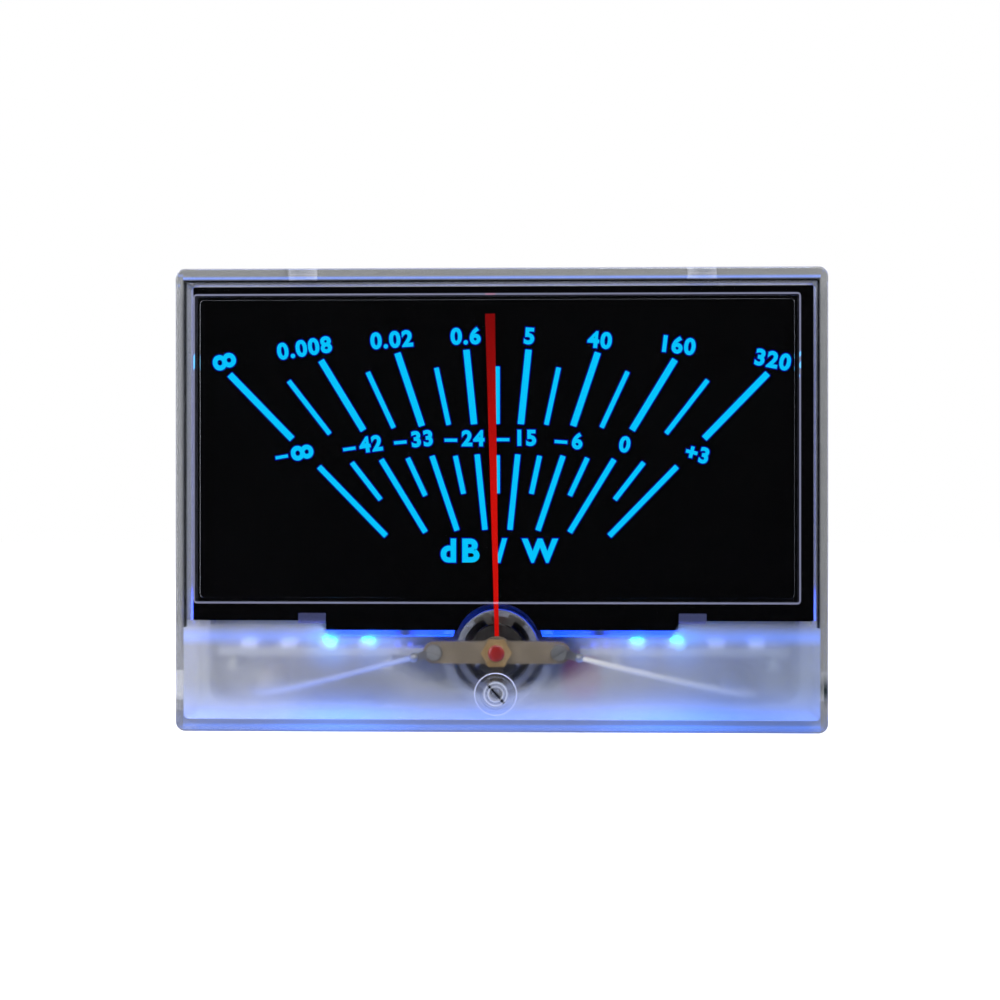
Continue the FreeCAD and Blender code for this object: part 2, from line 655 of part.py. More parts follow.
def lamp_pins():
    """Square supply pins, soldered on the boards and led out through the back."""
    half = LAMP_PIN_SIZE / 2
    front = BOARD_FRONT + BOARD_WIDTH / 2
    rear = HOUSING_DEPTH + LAMP_PIN_REACH
    pins = []
    for x in lamp_pin_places():
        pin = slab(x - half, x + half, front, rear, BOARD_TOP, BOARD_TOP + LAMP_PIN_SIZE)
        pins += [pin, mirrored(pin)]
    return group(pins)


# ---------------------------------------------------------------- movement, fixed pieces
def pillar_places():
    """X of the two pillars."""
    return AXIS_X - PILLAR_X, AXIS_X + PILLAR_X


def movement_frame():
    """Die-cast base with two pillars for the bridge and lugs that seat the yoke ring."""
    plate = rod(FRAME_RADIUS, FRAME_FRONT, FRAME_REAR)
    pieces = [plate, soft_arm(FRAME_FRONT, FRAME_REAR)]
    for x in pillar_places():
        pieces.append(rod(PILLAR_RADIUS, BRIDGE_REAR, FRAME_FRONT + SINK, x))
    for middle in HOLDER_ANGLES:
        inner = RING_OUTER - LUG_SEAT
        lug = sector(RING_OUTER, inner, middle, HOLDER_HALF_ANGLE, CORE_REAR, FRAME_FRONT + SINK)
        pieces.append(lug)
    bores = [rod(SCREW_RADIUS, FRAME_FRONT, FRAME_REAR)]
    for x in pillar_places():
        bores.append(rod(BRIDGE_SCREW_RADIUS, BRIDGE_REAR, BRIDGE_REAR + BRIDGE_SCREW_DEPTH, x))
        bores.append(rod(FRAME_SCREW_RADIUS, FRAME_REAR - FRAME_SCREW_BITE, FRAME_REAR, x))
    return joined(pieces).cut(bores)


def soft_arm(front, rear, length=2 * ARM_REACH):
    """Straight bar across the axis with round ends."""
    end = length / 2 - BRIDGE_WIDTH / 2
    half = BRIDGE_WIDTH / 2
    bar = slab(AXIS_X - end, AXIS_X + end, front, rear, PIVOT_Z - half, PIVOT_Z + half)
    return joined([bar, rod(half, front, rear, AXIS_X - end), rod(half, front, rear, AXIS_X + end)])


def front_bridge():
    """Bar across the pillars that holds the front jewel screw."""
    bar = soft_arm(BRIDGE_FRONT, BRIDGE_REAR, BRIDGE_LENGTH)
    pad = rod(BRIDGE_PAD_RADIUS, BRIDGE_FRONT, BRIDGE_REAR)
    bores = [rod(SCREW_RADIUS, BRIDGE_FRONT, BRIDGE_REAR)]
    bores += [rod(BRIDGE_SCREW_RADIUS, BRIDGE_FRONT, BRIDGE_REAR, x) for x in pillar_places()]
    return joined([bar, pad]).cut(bores)


def bridge_screws():
    """Two slotted screws through the tags and the bridge into the pillars."""
    seat = BRIDGE_FRONT - TAG_SHEET
    screws = []
    for x, turn in zip(pillar_places(), BRIDGE_SLOT_TURNS):
        face = seat - BRIDGE_SCREW_HEAD_HEIGHT
        head = rod(BRIDGE_SCREW_HEAD, face, seat, x)
        shank = rod(BRIDGE_SCREW_RADIUS, seat, BRIDGE_REAR + BRIDGE_SCREW_DEPTH - SCREW_END_GAP, x)
        screw = joined([head, shank])
        screws.append(slotted(screw, BRIDGE_SCREW_HEAD, face, BRIDGE_SLOT, BRIDGE_SLOT, turn, x))
    return group(screws)


def movement_tags():
    """Solder tags under the bridge screws, where the leads begin."""
    tags = []
    for x, side in zip(pillar_places(), (-1, 1)):
        ring = rod(TAG_RING_RADIUS, BRIDGE_FRONT - TAG_SHEET, BRIDGE_FRONT, x)
        inner, outer = sorted((x, x + side * TAG_REACH))
        low = PIVOT_Z - TAG_WIDTH / 2
        tail = slab(inner, outer, BRIDGE_FRONT - TAG_SHEET, BRIDGE_FRONT, low, low + TAG_WIDTH)
        tail = turned(tail, side * TAG_DROP, x)
        hole = rod(BRIDGE_SCREW_RADIUS, BRIDGE_FRONT - TAG_SHEET, BRIDGE_FRONT, x)
        tags.append(joined([ring, tail]).cut(hole))
    return group(tags)


def yoke_ring():
    """Soft iron ring round the coil."""
    return tube(RING_OUTER, RING_INNER, CORE_FRONT, CORE_REAR)


def core_magnet():
    """Round magnet that the coil turns about."""
    core = rod(CORE_RADIUS, CORE_FRONT, CORE_REAR)
    return core.makeChamfer(CORE_CHAMFER, edges_at(core, CORE_FRONT) + edges_at(core, CORE_REAR))


def core_holders():
    """Cast spacers above and below that hold the core in the ring; the upper has two proud lugs."""
    front = CORE_FRONT + HOLDER_SETBACK
    rear = CORE_REAR - HOLDER_SETBACK
    upper, lower = [
        sector(RING_INNER, CORE_RADIUS, middle, HOLDER_HALF_ANGLE, front, rear) for middle in HOLDER_ANGLES
    ]
    outer = RING_OUTER - HOLDER_LUG_INSET
    inner = CORE_RADIUS + HOLDER_LUG_INSET
    foot = (HOLDER_HALF_ANGLE - HOLDER_LUG_GAP / 2) / 2
    reach = HOLDER_LUG_SPAN / 2
    proud = CORE_FRONT - HOLDER_LUG
    lugs = []
    for side in (-1, 1):
        edge = HOLDER_ANGLES[0] + side * HOLDER_LUG_GAP / 2
        lugs.append(sector(RING_INNER, inner, edge + side * foot, foot, CORE_FRONT, front))
        lugs.append(sector(outer, inner, edge + side * foot, foot, proud, CORE_FRONT))
        lugs.append(sector(outer, RING_INNER, edge + side * reach, reach, proud, CORE_FRONT))
    return group([joined([upper] + lugs), lower])


def jewel_screw(face, end, slot_end):
    """Threaded barrel that carries a jewel in the end that faces the coil."""
    front, rear = sorted((face, end))
    barrel = rod(SCREW_RADIUS, front, rear)
    pocket_front, pocket_rear = sorted((face, face + math.copysign(JEWEL_THICKNESS, end - face)))
    barrel = barrel.cut(rod(JEWEL_RADIUS, pocket_front, pocket_rear))
    if slot_end:
        floor = end - SCREW_SLOT_DEPTH
        barrel = slotted(barrel, SCREW_RADIUS, floor, SCREW_SLOT_WIDTH, SCREW_SLOT_DEPTH, SCREW_SLOT_TURN)
    return barrel


def front_jewel_screw():
    """Jewel screw in the bridge."""
    return jewel_screw(FRONT_JEWEL_FACE, FRONT_SCREW_END, False)


def rear_jewel_screw():
    """Jewel screw in the frame."""
    return jewel_screw(REAR_JEWEL_FACE, REAR_JEWEL_FACE + SCREW_LENGTH, True)


def lacquer_seal():
    """Red lacquer drop that locks the front jewel screw."""
    bulge = (SCREW_RADIUS**2 + LACQUER_HEIGHT**2) / (2 * LACQUER_HEIGHT)
    centre = Vector(AXIS_X, FRONT_SCREW_END - LACQUER_HEIGHT + bulge, PIVOT_Z)
    ball = Part.makeSphere(bulge, centre)
    return ball.common(rod(SCREW_RADIUS, FRONT_SCREW_END - LACQUER_HEIGHT - OVERCUT, FRONT_SCREW_END))


def bearing_jewels():
    """Two cupped jewels, one pressed in each screw."""
    jewels = []
    for face, way in ((FRONT_JEWEL_FACE, -1), (REAR_JEWEL_FACE, 1)):
        front, rear = sorted((face, face + way * JEWEL_THICKNESS))
        mouth = Vector(AXIS_X, face, PIVOT_Z)
        cup = Part.makeCone(JEWEL_CUP_RADIUS, JEWEL_CUP_FLOOR, JEWEL_CUP_DEPTH, mouth, DEPTH_WAY * way)
        jewels.append(rod(JEWEL_RADIUS, front, rear).cut(cup))
    return group(jewels)


def lock_nut(front):
    """Thin nut on a jewel screw."""
    rear = front + NUT_THICKNESS
    return hexagon(NUT_ACROSS_FLATS, front, rear).cut(rod(SCREW_RADIUS, front, rear))


def front_lock_nut():
    """Nut that locks the front jewel screw over the zero lever."""
    return lock_nut(NUT_REAR - NUT_THICKNESS)


def rear_lock_nut():
    """Nut behind the frame."""
    return lock_nut(FRAME_REAR)


def rear_spring_anchor():
    """Tab on the frame that holds the rear hairspring's outer end."""
    return anchor_tab(REAR_SPRING_FRONT, FRAME_FRONT)


def pointer_stops():
    """Two pins in the yoke ring that end the pointer's swing."""
    share = STOP_AT / POINTER_LENGTH
    half_width = (POINTER_ROOT_WIDTH + (POINTER_TIP_WIDTH - POINTER_ROOT_WIDTH) * share) / 2
    beside = math.degrees(math.asin((half_width + STOP_RADIUS + STOP_CLEARANCE) / STOP_AT))
    angle = POINTER_LIMIT + beside
    pins = []
    for side in (-1, 1):
        foot = polar(STOP_AT, 90 + side * angle, 0)
        pins.append(rod(STOP_RADIUS, POINTER_FRONT - STOP_AHEAD, CORE_FRONT, foot.x, foot.z))
    return group(pins)


# ---------------------------------------------------------------- movement, turning pieces
def coil_loop(inner, outer, front_in, front_out, rear_in, rear_out, width):
    """Rectangular loop round the core, its long sides beside it."""
    half = width / 2
    whole = slab(AXIS_X - outer, AXIS_X + outer, front_out, rear_out, PIVOT_Z - half, PIVOT_Z + half)
    hole = slab(AXIS_X - inner, AXIS_X + inner, front_in, rear_in, PIVOT_Z - width, PIVOT_Z + width)
    return whole.cut(hole)


def coil_former():
    """Light aluminium frame inside the winding."""
    inner_front = CORE_FRONT - AIR_GAP_INNER
    inner_rear = CORE_REAR + AIR_GAP_INNER
    return coil_loop(
        FORMER_INNER, FORMER_OUTER, inner_front, inner_front - FORMER_WALL,
        inner_rear, inner_rear + FORMER_WALL, FORMER_WIDTH,
    )


def coil_winding():
    """Fine copper winding on the former, its corners rounded."""
    former_front = CORE_FRONT - AIR_GAP_INNER - FORMER_WALL
    former_rear = CORE_REAR + AIR_GAP_INNER + FORMER_WALL
    loop = coil_loop(
        FORMER_OUTER, WINDING_OUTER, former_front, COIL_FRONT, former_rear, COIL_REAR, WINDING_WIDTH,
    )
    upright = edges_along(loop, HEIGHT_WAY)
    corners = [e for e in upright if abs(abs(e.BoundBox.XMax - AXIS_X) - WINDING_OUTER) < TOUCH]
    return loop.makeFillet(WINDING_CORNER, corners)


def pointer_hub():
    """Front boss glued to the coil; the pointer, the balance arms and the spring sit on it."""
    flange = rod(HUB_FLANGE_RADIUS, BALANCE_REAR, COIL_FRONT)
    return joined([flange, rod(HUB_RADIUS, FRONT_HUB_END, COIL_FRONT)])


def rear_hub():
    """Rear boss glued to the coil."""
    flange = rod(HUB_FLANGE_RADIUS, COIL_REAR, COIL_REAR + HUB_FLANGE)
    return joined([flange, rod(HUB_RADIUS, COIL_REAR, REAR_HUB_END)])


def pivot_pins():
    """Hardened points that turn in the jewels."""
    pins = []
    for end, way in ((FRONT_HUB_END, -1), (REAR_HUB_END, 1)):
        front, rear = sorted((end, end + way * PIVOT_PIN_REACH))
        base = Vector(AXIS_X, end + way * PIVOT_PIN_REACH, PIVOT_Z)
        point = Part.makeCone(PIVOT_PIN_RADIUS, PIVOT_TIP_RADIUS, PIVOT_CONE, base, DEPTH_WAY * way)
        pins.append(joined([rod(PIVOT_PIN_RADIUS, front, rear), point]))
    return group(pins)


def pointer():
    """Flat aluminium pointer, widest at its square tip, with an eye round the hub."""
    root = POINTER_ROOT_WIDTH / 2
    tip = POINTER_TIP_WIDTH / 2
    outline = ((-root, 0), (root, 0), (tip, POINTER_LENGTH), (-tip, POINTER_LENGTH), (-root, 0))
    corners = [Vector(AXIS_X + x, POINTER_FRONT, PIVOT_Z + z) for x, z in outline]
    blade = Part.Face(Part.makePolygon(corners)).extrude(DEPTH_WAY * POINTER_SHEET)
    eye = rod(POINTER_EYE_RADIUS, POINTER_FRONT, POINTER_REAR)
    return joined([blade, eye]).cut(rod(HUB_RADIUS, POINTER_FRONT, POINTER_REAR))


def balance_cross():
    """Three arms behind the pointer for the balance weights."""
    pieces = [rod(POINTER_EYE_RADIUS, POINTER_REAR, BALANCE_REAR)]
    pieces += [turned(balance_arm(), -angle) for angle in BALANCE_ANGLES]
    return joined(pieces).cut(rod(HUB_RADIUS, POINTER_REAR, BALANCE_REAR))


def balance_arm():
    """One arm, pointing to the right."""
    half = BALANCE_ARM_WIDTH / 2
    reach = AXIS_X + BALANCE_REACH
    return slab(AXIS_X, reach, POINTER_REAR, BALANCE_REAR, PIVOT_Z - half, PIVOT_Z + half)


def balance_weights():
    """A small coil of solder wire on each arm."""
    middle = (POINTER_REAR + BALANCE_REAR) / 2
    start = Vector(AXIS_X + WEIGHT_AT, middle, PIVOT_Z)
    weight = Part.makeCylinder(WEIGHT_RADIUS, WEIGHT_LENGTH, start, Vector(1, 0, 0))
    sleeve = weight.cut(balance_arm())
    return group([turned(sleeve, -angle) for angle in BALANCE_ANGLES])


def hairspring(front):
    """Flat spiral strip from the hub out to its anchor tab, made of half circles about two centres."""
    inner = HUB_RADIUS + SPRING_STRIP / 2
    outer = ANCHOR_RADIUS - SPRING_STRIP / 2
    shift = (outer - inner) / (2 * SPRING_TURNS + 1)
    rails = []
    for offset in (SPRING_STRIP / 2, -SPRING_STRIP / 2):
        radius = inner + offset
        edges = []
        for turn in range(SPRING_TURNS):
            upper = [polar(radius, angle, front) for angle in (0, 90, 180)]
            edges.append(Part.Arc(*upper).toShape())
            radius += shift
            angles = (180, 225, 270) if turn == SPRING_TURNS - 1 else (180, 270, 360)
            lower = [polar(radius, angle, front, AXIS_X + shift) for angle in angles]
            edges.append(Part.Arc(*lower).toShape())
            radius += shift
        rails.append((edges, lower[-1]))
    tail = Vector(SPRING_TAIL, 0, 0)
    (outer_edges, outer_end), (inner_edges, inner_end) = rails
    outer_edges.append(Part.makeLine(outer_end, outer_end + tail))
    inner_edges.append(Part.makeLine(inner_end, inner_end + tail))
    hub_end = [polar(inner + offset, 0, front) for offset in (SPRING_STRIP / 2, -SPRING_STRIP / 2)]
    caps = [Part.makeLine(outer_end + tail, inner_end + tail), Part.makeLine(*hub_end)]
    outline = Part.Wire(Part.__sortEdges__(outer_edges + inner_edges + caps))
    return Part.Face(outline).extrude(DEPTH_WAY * SPRING_HEIGHT)


def hairspring_front():
    """Spring between the hub and the zero lever."""
    return hairspring(FRONT_SPRING_REAR - SPRING_HEIGHT)


def hairspring_rear():
    """Spring between the rear hub and the frame."""
    return hairspring(REAR_SPRING_FRONT)


# ---------------------------------------------------------------- rear housing
def rear_housing():
    """Moulded back: flange, lip inside the cover, shallow tray, movement well and its bulge."""
    half = CASE_WIDTH / 2
    flange = soft_slab(-half, half, COVER_DEPTH, FLANGE_REAR, 0, CASE_HEIGHT, CORNER_RADIUS)
    lip_x = CAVITY_X - LIP_FIT
    lip = soft_slab(
        -lip_x, lip_x, COVER_DEPTH - LIP_REACH, FLANGE_REAR,
        TOP_WALL + LIP_FIT, CAVITY_TOP - LIP_FIT, CAVITY_CORNER,
    )
    outer_x = INNER_X + HOUSING_SIDE
    tray = soft_slab(
        -outer_x, outer_x, COVER_DEPTH, HOUSING_DEPTH,
        INNER_BOTTOM - HOUSING_SIDE, INNER_TOP + HOUSING_SIDE, HOUSING_CORNER + HOUSING_SIDE,
    )
    tray = tray.makeChamfer(TRAY_EDGE, edges_at(tray, HOUSING_DEPTH))
    bulge = rod(BULGE_RADIUS, BACK_INNER, HOUSING_DEPTH + BULGE_REACH)
    bulge = bulge.makeChamfer(BULGE_EDGE, edges_at(bulge, HOUSING_DEPTH + BULGE_REACH))
    hollow = soft_slab(
        -INNER_X, INNER_X, COVER_DEPTH - LIP_REACH, BACK_INNER, INNER_BOTTOM, INNER_TOP, HOUSING_CORNER,
    )
    bulge_hollow = rod(BULGE_RADIUS - BULGE_WALL, BACK_INNER, HOUSING_DEPTH + BULGE_REACH - BULGE_WALL)
    shell = joined([flange, lip, tray, bulge]).cut([hollow, bulge_hollow])
    inside = [movement_well()] + frame_bosses() + stack_posts() + board_ribs() + snap_hooks()
    shell = joined([shell] + inside)
    return shell.cut(housing_holes()).removeSplitter()


def movement_well():
    """Round wall about the movement, notched for the frame's arms."""
    front = STACK_REAR + WELL_GAP
    wall = tube(WELL_RADIUS + WELL_WALL, WELL_RADIUS, front, BACK_INNER)
    reach = WELL_RADIUS + WELL_WALL + OVERCUT
    notch = slab(
        AXIS_X - reach, AXIS_X + reach, front - OVERCUT, FRAME_REAR,
        PIVOT_Z - NOTCH_HALF_HEIGHT, PIVOT_Z + NOTCH_HALF_HEIGHT,
    )
    return wall.cut(notch)


def frame_bosses():
    """Bosses that the movement frame's arms are screwed down on."""
    return [rod(BOSS_SCREW_RADIUS, FRAME_REAR, BACK_INNER, x) for x in pillar_places()]


def stack_posts():
    """Posts with pins that carry the light guide, the reflector and the dial."""
    posts = []
    for x, z in post_places():
        posts.append(rod(POST_RADIUS, STACK_REAR, BACK_INNER, x, z))
        posts.append(rod(POST_PIN_RADIUS, STACK_REAR - POST_PIN_REACH, STACK_REAR, x, z))
    return posts


def board_ribs():
    """Ribs with pegs that the lamp boards lie on."""
    front = BOARD_FRONT + RIB_SETBACK
    half = RIB_THICKNESS / 2
    pieces = []
    for x in RIB_X:
        rib = slab(x - half, x + half, front, BACK_INNER, BOARD_Z - RIB_HEIGHT, BOARD_Z)
        stand = peg(x, PEG_RADIUS)
        pieces += [rib, stand, mirrored(rib), mirrored(stand)]
    return pieces


def snap_hooks():
    """Ramped hooks on the lip, one for each window in the cover's sides."""
    lip_x = CAVITY_X - LIP_FIT
    peak = lip_x + SNAP_PROUD
    rear = COVER_DEPTH - SNAP_SETBACK
    front = rear - SNAP_DEPTH
    outline = ((lip_x, front), (peak, rear - SNAP_LAND), (peak, rear), (lip_x, rear), (lip_x, front))
    corners = [Vector(x, depth, -SNAP_LENGTH / 2) for x, depth in outline]
    return snapped(Part.Face(Part.makePolygon(corners)).extrude(HEIGHT_WAY * SNAP_LENGTH))


def housing_holes():
    """Holes in the back for the studs, the frame screws and the lamp pins."""
    front = BACK_INNER - OVERCUT
    rear = HOUSING_DEPTH + OVERCUT
    holes = []
    for x in pillar_places():
        holes.append(rod(FRAME_SCREW_RADIUS + STUD_HOLE_FIT, FRAME_REAR, rear, x))
    for side in (-1, 1):
        holes.append(rod(STUD_SHANK_RADIUS + STUD_HOLE_FIT, front, rear, side * TERMINAL_X, TERMINAL_Z))
    half = LAMP_PIN_SIZE / 2 + LAMP_PIN_SLOT
    middle = BOARD_TOP + LAMP_PIN_SIZE / 2
    for x in lamp_pin_places():
        slot = slab(x - half, x + half, front, rear, middle - half, middle + half)
        holes += [slot, mirrored(slot)]
    return holes


def movement_screws():
    """Two screws through the back into the frame's pillars."""
    screws = []
    for x, turn in zip(pillar_places(), FRAME_SLOT_TURNS):
        end = HOUSING_DEPTH + FRAME_SCREW_HEAD_HEIGHT
        head = rod(FRAME_SCREW_HEAD, HOUSING_DEPTH, end, x)
        shank = rod(FRAME_SCREW_RADIUS, FRAME_REAR - FRAME_SCREW_BITE + SCREW_END_GAP, HOUSING_DEPTH, x)
        screw = joined([head, shank])
        screws.append(slotted(screw, FRAME_SCREW_HEAD, end - FRAME_SLOT, FRAME_SLOT, FRAME_SLOT, turn, x))
    return group(screws)


# ---------------------------------------------------------------- terminals and leads
def both_sides(make):
    """The pieces made for the right-hand and the left-hand terminal."""
    piece = make(TERMINAL_X, TERMINAL_Z)
    return group([piece, mirrored(piece)])


def terminal_studs():
    """Stepped, threaded studs with a flat head inside the back."""
    def stud(x, z):
        seat = BACK_INNER - TERMINAL_TAG_SHEET
        step = TERMINAL_NUT_REAR + STUD_SHANK_SHOWS
        head = rod(STUD_HEAD_RADIUS, seat - STUD_HEAD_HEIGHT, seat, x, z)
        shank = rod(STUD_SHANK_RADIUS, seat, step, x, z)
        end = rod(STUD_RADIUS, step, STUD_END, x, z)
        end = end.makeChamfer(STUD_CHAMFER, edges_at(end, STUD_END))
        return joined([head, shank, end])
    return both_sides(stud)


def terminal_tags():
    """Solder tags under the studs' heads."""
    def tag(x, z):
        front = BACK_INNER - TERMINAL_TAG_SHEET
        ring = rod(TERMINAL_TAG_RING, front, BACK_INNER, x, z)
        reach = TERMINAL_TAG_X - x
        drop = TERMINAL_TAG_Z - z
        half = TERMINAL_TAG_WIDTH / 2
        length = math.hypot(reach, drop) + half
        tail = slab(x, x + length, front, BACK_INNER, z - half, z + half)
        tail = turned(tail, -math.degrees(math.atan2(drop, reach)), x, z)
        return joined([ring, tail]).cut(rod(STUD_SHANK_RADIUS, front, BACK_INNER, x, z))
    return both_sides(tag)


def terminal_washers():
    """Washers on the back."""
    def washer(x, z):
        return tube(WASHER_RADIUS, STUD_SHANK_RADIUS, HOUSING_DEPTH, WASHER_REAR, x, z)
    return both_sides(washer)


def terminal_nuts():
    """Nuts that hold the studs in the back."""
    def nut(x, z):
        prism = hexagon(TERMINAL_NUT_FLATS, WASHER_REAR, TERMINAL_NUT_REAR, x, z)
        return prism.cut(rod(STUD_SHANK_RADIUS, WASHER_REAR, TERMINAL_NUT_REAR, x, z))
    return both_sides(nut)


def lead(side):
    """Insulated lead from a movement tag to its terminal, held at both ends."""
    across = side * math.cos(math.radians(TAG_DROP))
    down = math.sin(math.radians(TAG_DROP))
    depth = BRIDGE_FRONT - TAG_SHEET / 2
    screw_x = AXIS_X + side * PILLAR_X
    start = [
        (screw_x + across * reach, depth, PIVOT_Z - down * reach)
        for reach in (TAG_REACH, TAG_REACH + LEAD_FIRST_RUN)
    ]
    middle = [(side * x, y, z) for x, y, z in LEAD_ROUTE]
    tag_front = BACK_INNER - TERMINAL_TAG_SHEET
    end = [(side * TERMINAL_TAG_X, y, TERMINAL_TAG_Z) for y in (tag_front - LEAD_LAST_RUN, tag_front)]
    return swept_lead(start + middle + end, LEAD_RADIUS)


# ---------------------------------------------------------------- nodes
FIXED = {
    "front_cover": front_cover,
    "rear_housing": rear_housing,
    "dial_plate": dial_plate,
    "light_guide": light_guide,
    "reflector_sheet": reflector_sheet,
    "dial_clips": dial_clips,
    "lamp_board_right": lamp_board,
    "lamp_board_left": lambda: mirrored(lamp_board()),
    "leds": leds,
    "resistors": resistors,
    "lamp_pins": lamp_pins,
    "movement_frame": movement_frame,
    "movement_screws": movement_screws,
    "front_bridge": front_bridge,
    "bridge_screws": bridge_screws,
    "movement_tags": movement_tags,
    "yoke_ring": yoke_ring,
    "core_magnet": core_magnet,
    "core_holders": core_holders,
    "front_jewel_screw": front_jewel_screw,
    "rear_jewel_screw": rear_jewel_screw,
    "lacquer_seal": lacquer_seal,
    "bearing_jewels": bearing_jewels,
    "front_lock_nut": front_lock_nut,
    "rear_lock_nut": rear_lock_nut,
    "rear_spring_anchor": rear_spring_anchor,
    "pointer_stops": pointer_stops,
    "hairspring_front": hairspring_front,
    "hairspring_rear": hairspring_rear,
    "terminal_studs": terminal_studs,
    "terminal_tags": terminal_tags,
    "terminal_washers": terminal_washers,
    "terminal_nuts": terminal_nuts,
    "lead_left": lambda: lead(-1),
    "lead_right": lambda: lead(1),
    "zero_adjuster": zero_adjuster,
    "zero_lever": zero_lever,
}
TURNING = {
    "pointer": pointer,
    "pointer_hub": pointer_hub,
    "rear_hub": rear_hub,
    "pivot_pins": pivot_pins,
    "coil_former": coil_former,
    "coil_winding": coil_winding,
    "balance_cross": balance_cross,
    "balance_weights": balance_weights,
}


def main():
    """Build each node, bring it to the origin and write it out."""
    os.makedirs("parts", exist_ok=True)
    nodes = {name: make() for name, make in FIXED.items()}
    nodes.update({name: turned(make(), POINTER_REST) for name, make in TURNING.items()})
    for name, shape in nodes.items():
        shape.translate(Vector(0, -MIDDLE_DEPTH, 0))
        shape.exportStep("parts/%s.step" % name)
        print("%-20s %8.3f mm3 valid %s" % (name, shape.Volume, shape.isValid()))


main()
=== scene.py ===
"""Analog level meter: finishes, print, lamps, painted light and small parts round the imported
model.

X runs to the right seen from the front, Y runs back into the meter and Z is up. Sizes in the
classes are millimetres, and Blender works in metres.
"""

import logging
import math
from collections.abc import Callable
from dataclasses import dataclass
from enum import Enum

import bpy
from bpy.types import Material, Node, NodeSocket, NodeTree, Object
from mathutils import Matrix, Vector

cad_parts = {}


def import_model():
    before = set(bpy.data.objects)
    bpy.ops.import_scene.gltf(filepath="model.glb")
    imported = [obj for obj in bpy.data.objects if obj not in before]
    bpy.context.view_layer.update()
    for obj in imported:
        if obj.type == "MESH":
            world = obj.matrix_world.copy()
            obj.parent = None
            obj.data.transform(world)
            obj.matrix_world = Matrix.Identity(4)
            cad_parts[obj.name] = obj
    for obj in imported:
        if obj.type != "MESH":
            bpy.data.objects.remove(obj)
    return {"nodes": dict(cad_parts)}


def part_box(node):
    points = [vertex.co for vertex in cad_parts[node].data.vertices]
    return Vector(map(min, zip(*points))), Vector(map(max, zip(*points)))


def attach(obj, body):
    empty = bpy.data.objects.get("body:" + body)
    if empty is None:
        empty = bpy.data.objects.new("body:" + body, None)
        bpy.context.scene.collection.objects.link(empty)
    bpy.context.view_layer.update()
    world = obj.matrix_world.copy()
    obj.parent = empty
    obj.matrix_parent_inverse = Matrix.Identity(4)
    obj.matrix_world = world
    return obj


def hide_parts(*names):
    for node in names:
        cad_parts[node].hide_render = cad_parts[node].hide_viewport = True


LOG = logging.getLogger("level_meter")
MM = 0.001

# Places that several parts share, in millimetres.
AXIS_X = -0.9
PIVOT_Z = 16.0
# Two places closer than this are the same place.
NEAR = 1e-3

# How finely a letter's curves and one turn of a thread are split.
LETTER_STEPS = 6
THREAD_STEPS = 20
# How much of an edge's direction lies along an axis that it runs along, and one that it crosses.
ALONG, ACROSS = 0.9, 0.1
# The least roughness that an uneven surface gets.
SMOOTHEST = 0.02
# How far apart a wave texture's bands lie at a scale of one.
WAVE_STEP = math.tau / 20
# Most of a noise texture's values lie between these two.
NOISE_LOW, NOISE_HIGH = 0.35, 0.65

Point = tuple[float, float, float]
Test = Callable[[Vector, Vector], bool]
Box = tuple[Vector, Vector]
# What a node's input takes: another node, for its first output in use, or one of its outputs.
Feed = Node | NodeSocket

FRONT = Vector((0, -1, 0))
BACK = Vector((0, 1, 0))
UP = Vector((0, 0, 1))


class Body(Enum):
    """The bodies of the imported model."""

    CASE = "case"
    COIL = "moving_coil"
    ADJUSTER = "adjuster"
    LEVER = "lever"


# ---------------------------------------------------------------- small helpers
def linear(colour: str) -> tuple[float, float, float, float]:
    """Turn an sRGB hex colour into linear red, green, blue and an alpha of one.

    Args:
        colour: Six hex digits, such as "C8C2B0".

    Returns:
        The four linear values that a colour socket takes.
    """
    values = [int(colour[place : place + 2], 16) / 255 for place in (0, 2, 4)]
    red, green, blue = (v / 12.92 if v <= 0.04045 else ((v + 0.055) / 1.055) ** 2.4 for v in values)
    return red, green, blue, 1.0


def per(size: float) -> float:
    """Return the noise scale whose pattern repeats about every `size` millimetres."""
    return 1 / (size * MM)


def bands(size: float) -> float:
    """Return the wave scale whose bands or rings lie `size` millimetres apart."""
    return per(size) * WAVE_STEP


def add(
    tree: NodeTree, kind: str, inputs: dict[str | int, object] | None = None, **settings: object
) -> Node:
    """Add a node with its settings and links.

    Args:
        tree: The node tree that gets the node.
        kind: The node's type without its "ShaderNode" prefix.
        inputs: For each input that is set: a value, another node or one of its outputs. A node
            stands for its first output in use.
        settings: The node's own properties.

    Returns:
        The new node.
    """
    made = tree.nodes.new("ShaderNode" + kind)
    for key, value in settings.items():
        setattr(made, key, value)
    for key, value in (inputs or {}).items():
        if isinstance(value, Node):
            value = next(end for end in value.outputs if end.enabled)
        if isinstance(value, NodeSocket):
            tree.links.new(value, made.inputs[key])
        else:
            made.inputs[key].default_value = value
    return made


def hump(
    tree: NodeTree,
    value: Feed,
    middle: float,
    reach: float,
    low: Feed | float = 0.0,
    high: Feed | float = 1.0,
) -> Feed:
    """Draw a smooth rise and fall along a line.

    Args:
        tree: The node tree that gets the nodes.
        value: Where each point lies along the line, in metres.
        middle: Where the rise is highest, in millimetres.
        reach: How far from there it ends, in millimetres.
        low: The value beyond the reach.
        high: The value at the middle.

    Returns:
        The drawn value.
    """
    apart = add(tree, "Math", {0: value, 1: middle * MM}, operation="SUBTRACT")
    away = add(tree, "Math", {0: apart}, operation="ABSOLUTE")
    ends = {"Value": away, "From Min": reach * MM, "From Max": 0.0, "To Min": low, "To Max": high}
    return add(tree, "MapRange", ends, interpolation_type="SMOOTHSTEP")


def shift(x: float, y: float, z: float) -> Matrix:
    """Return the matrix that moves a mesh by millimetres."""
    return Matrix.Translation(Vector((x, y, z)) * MM)


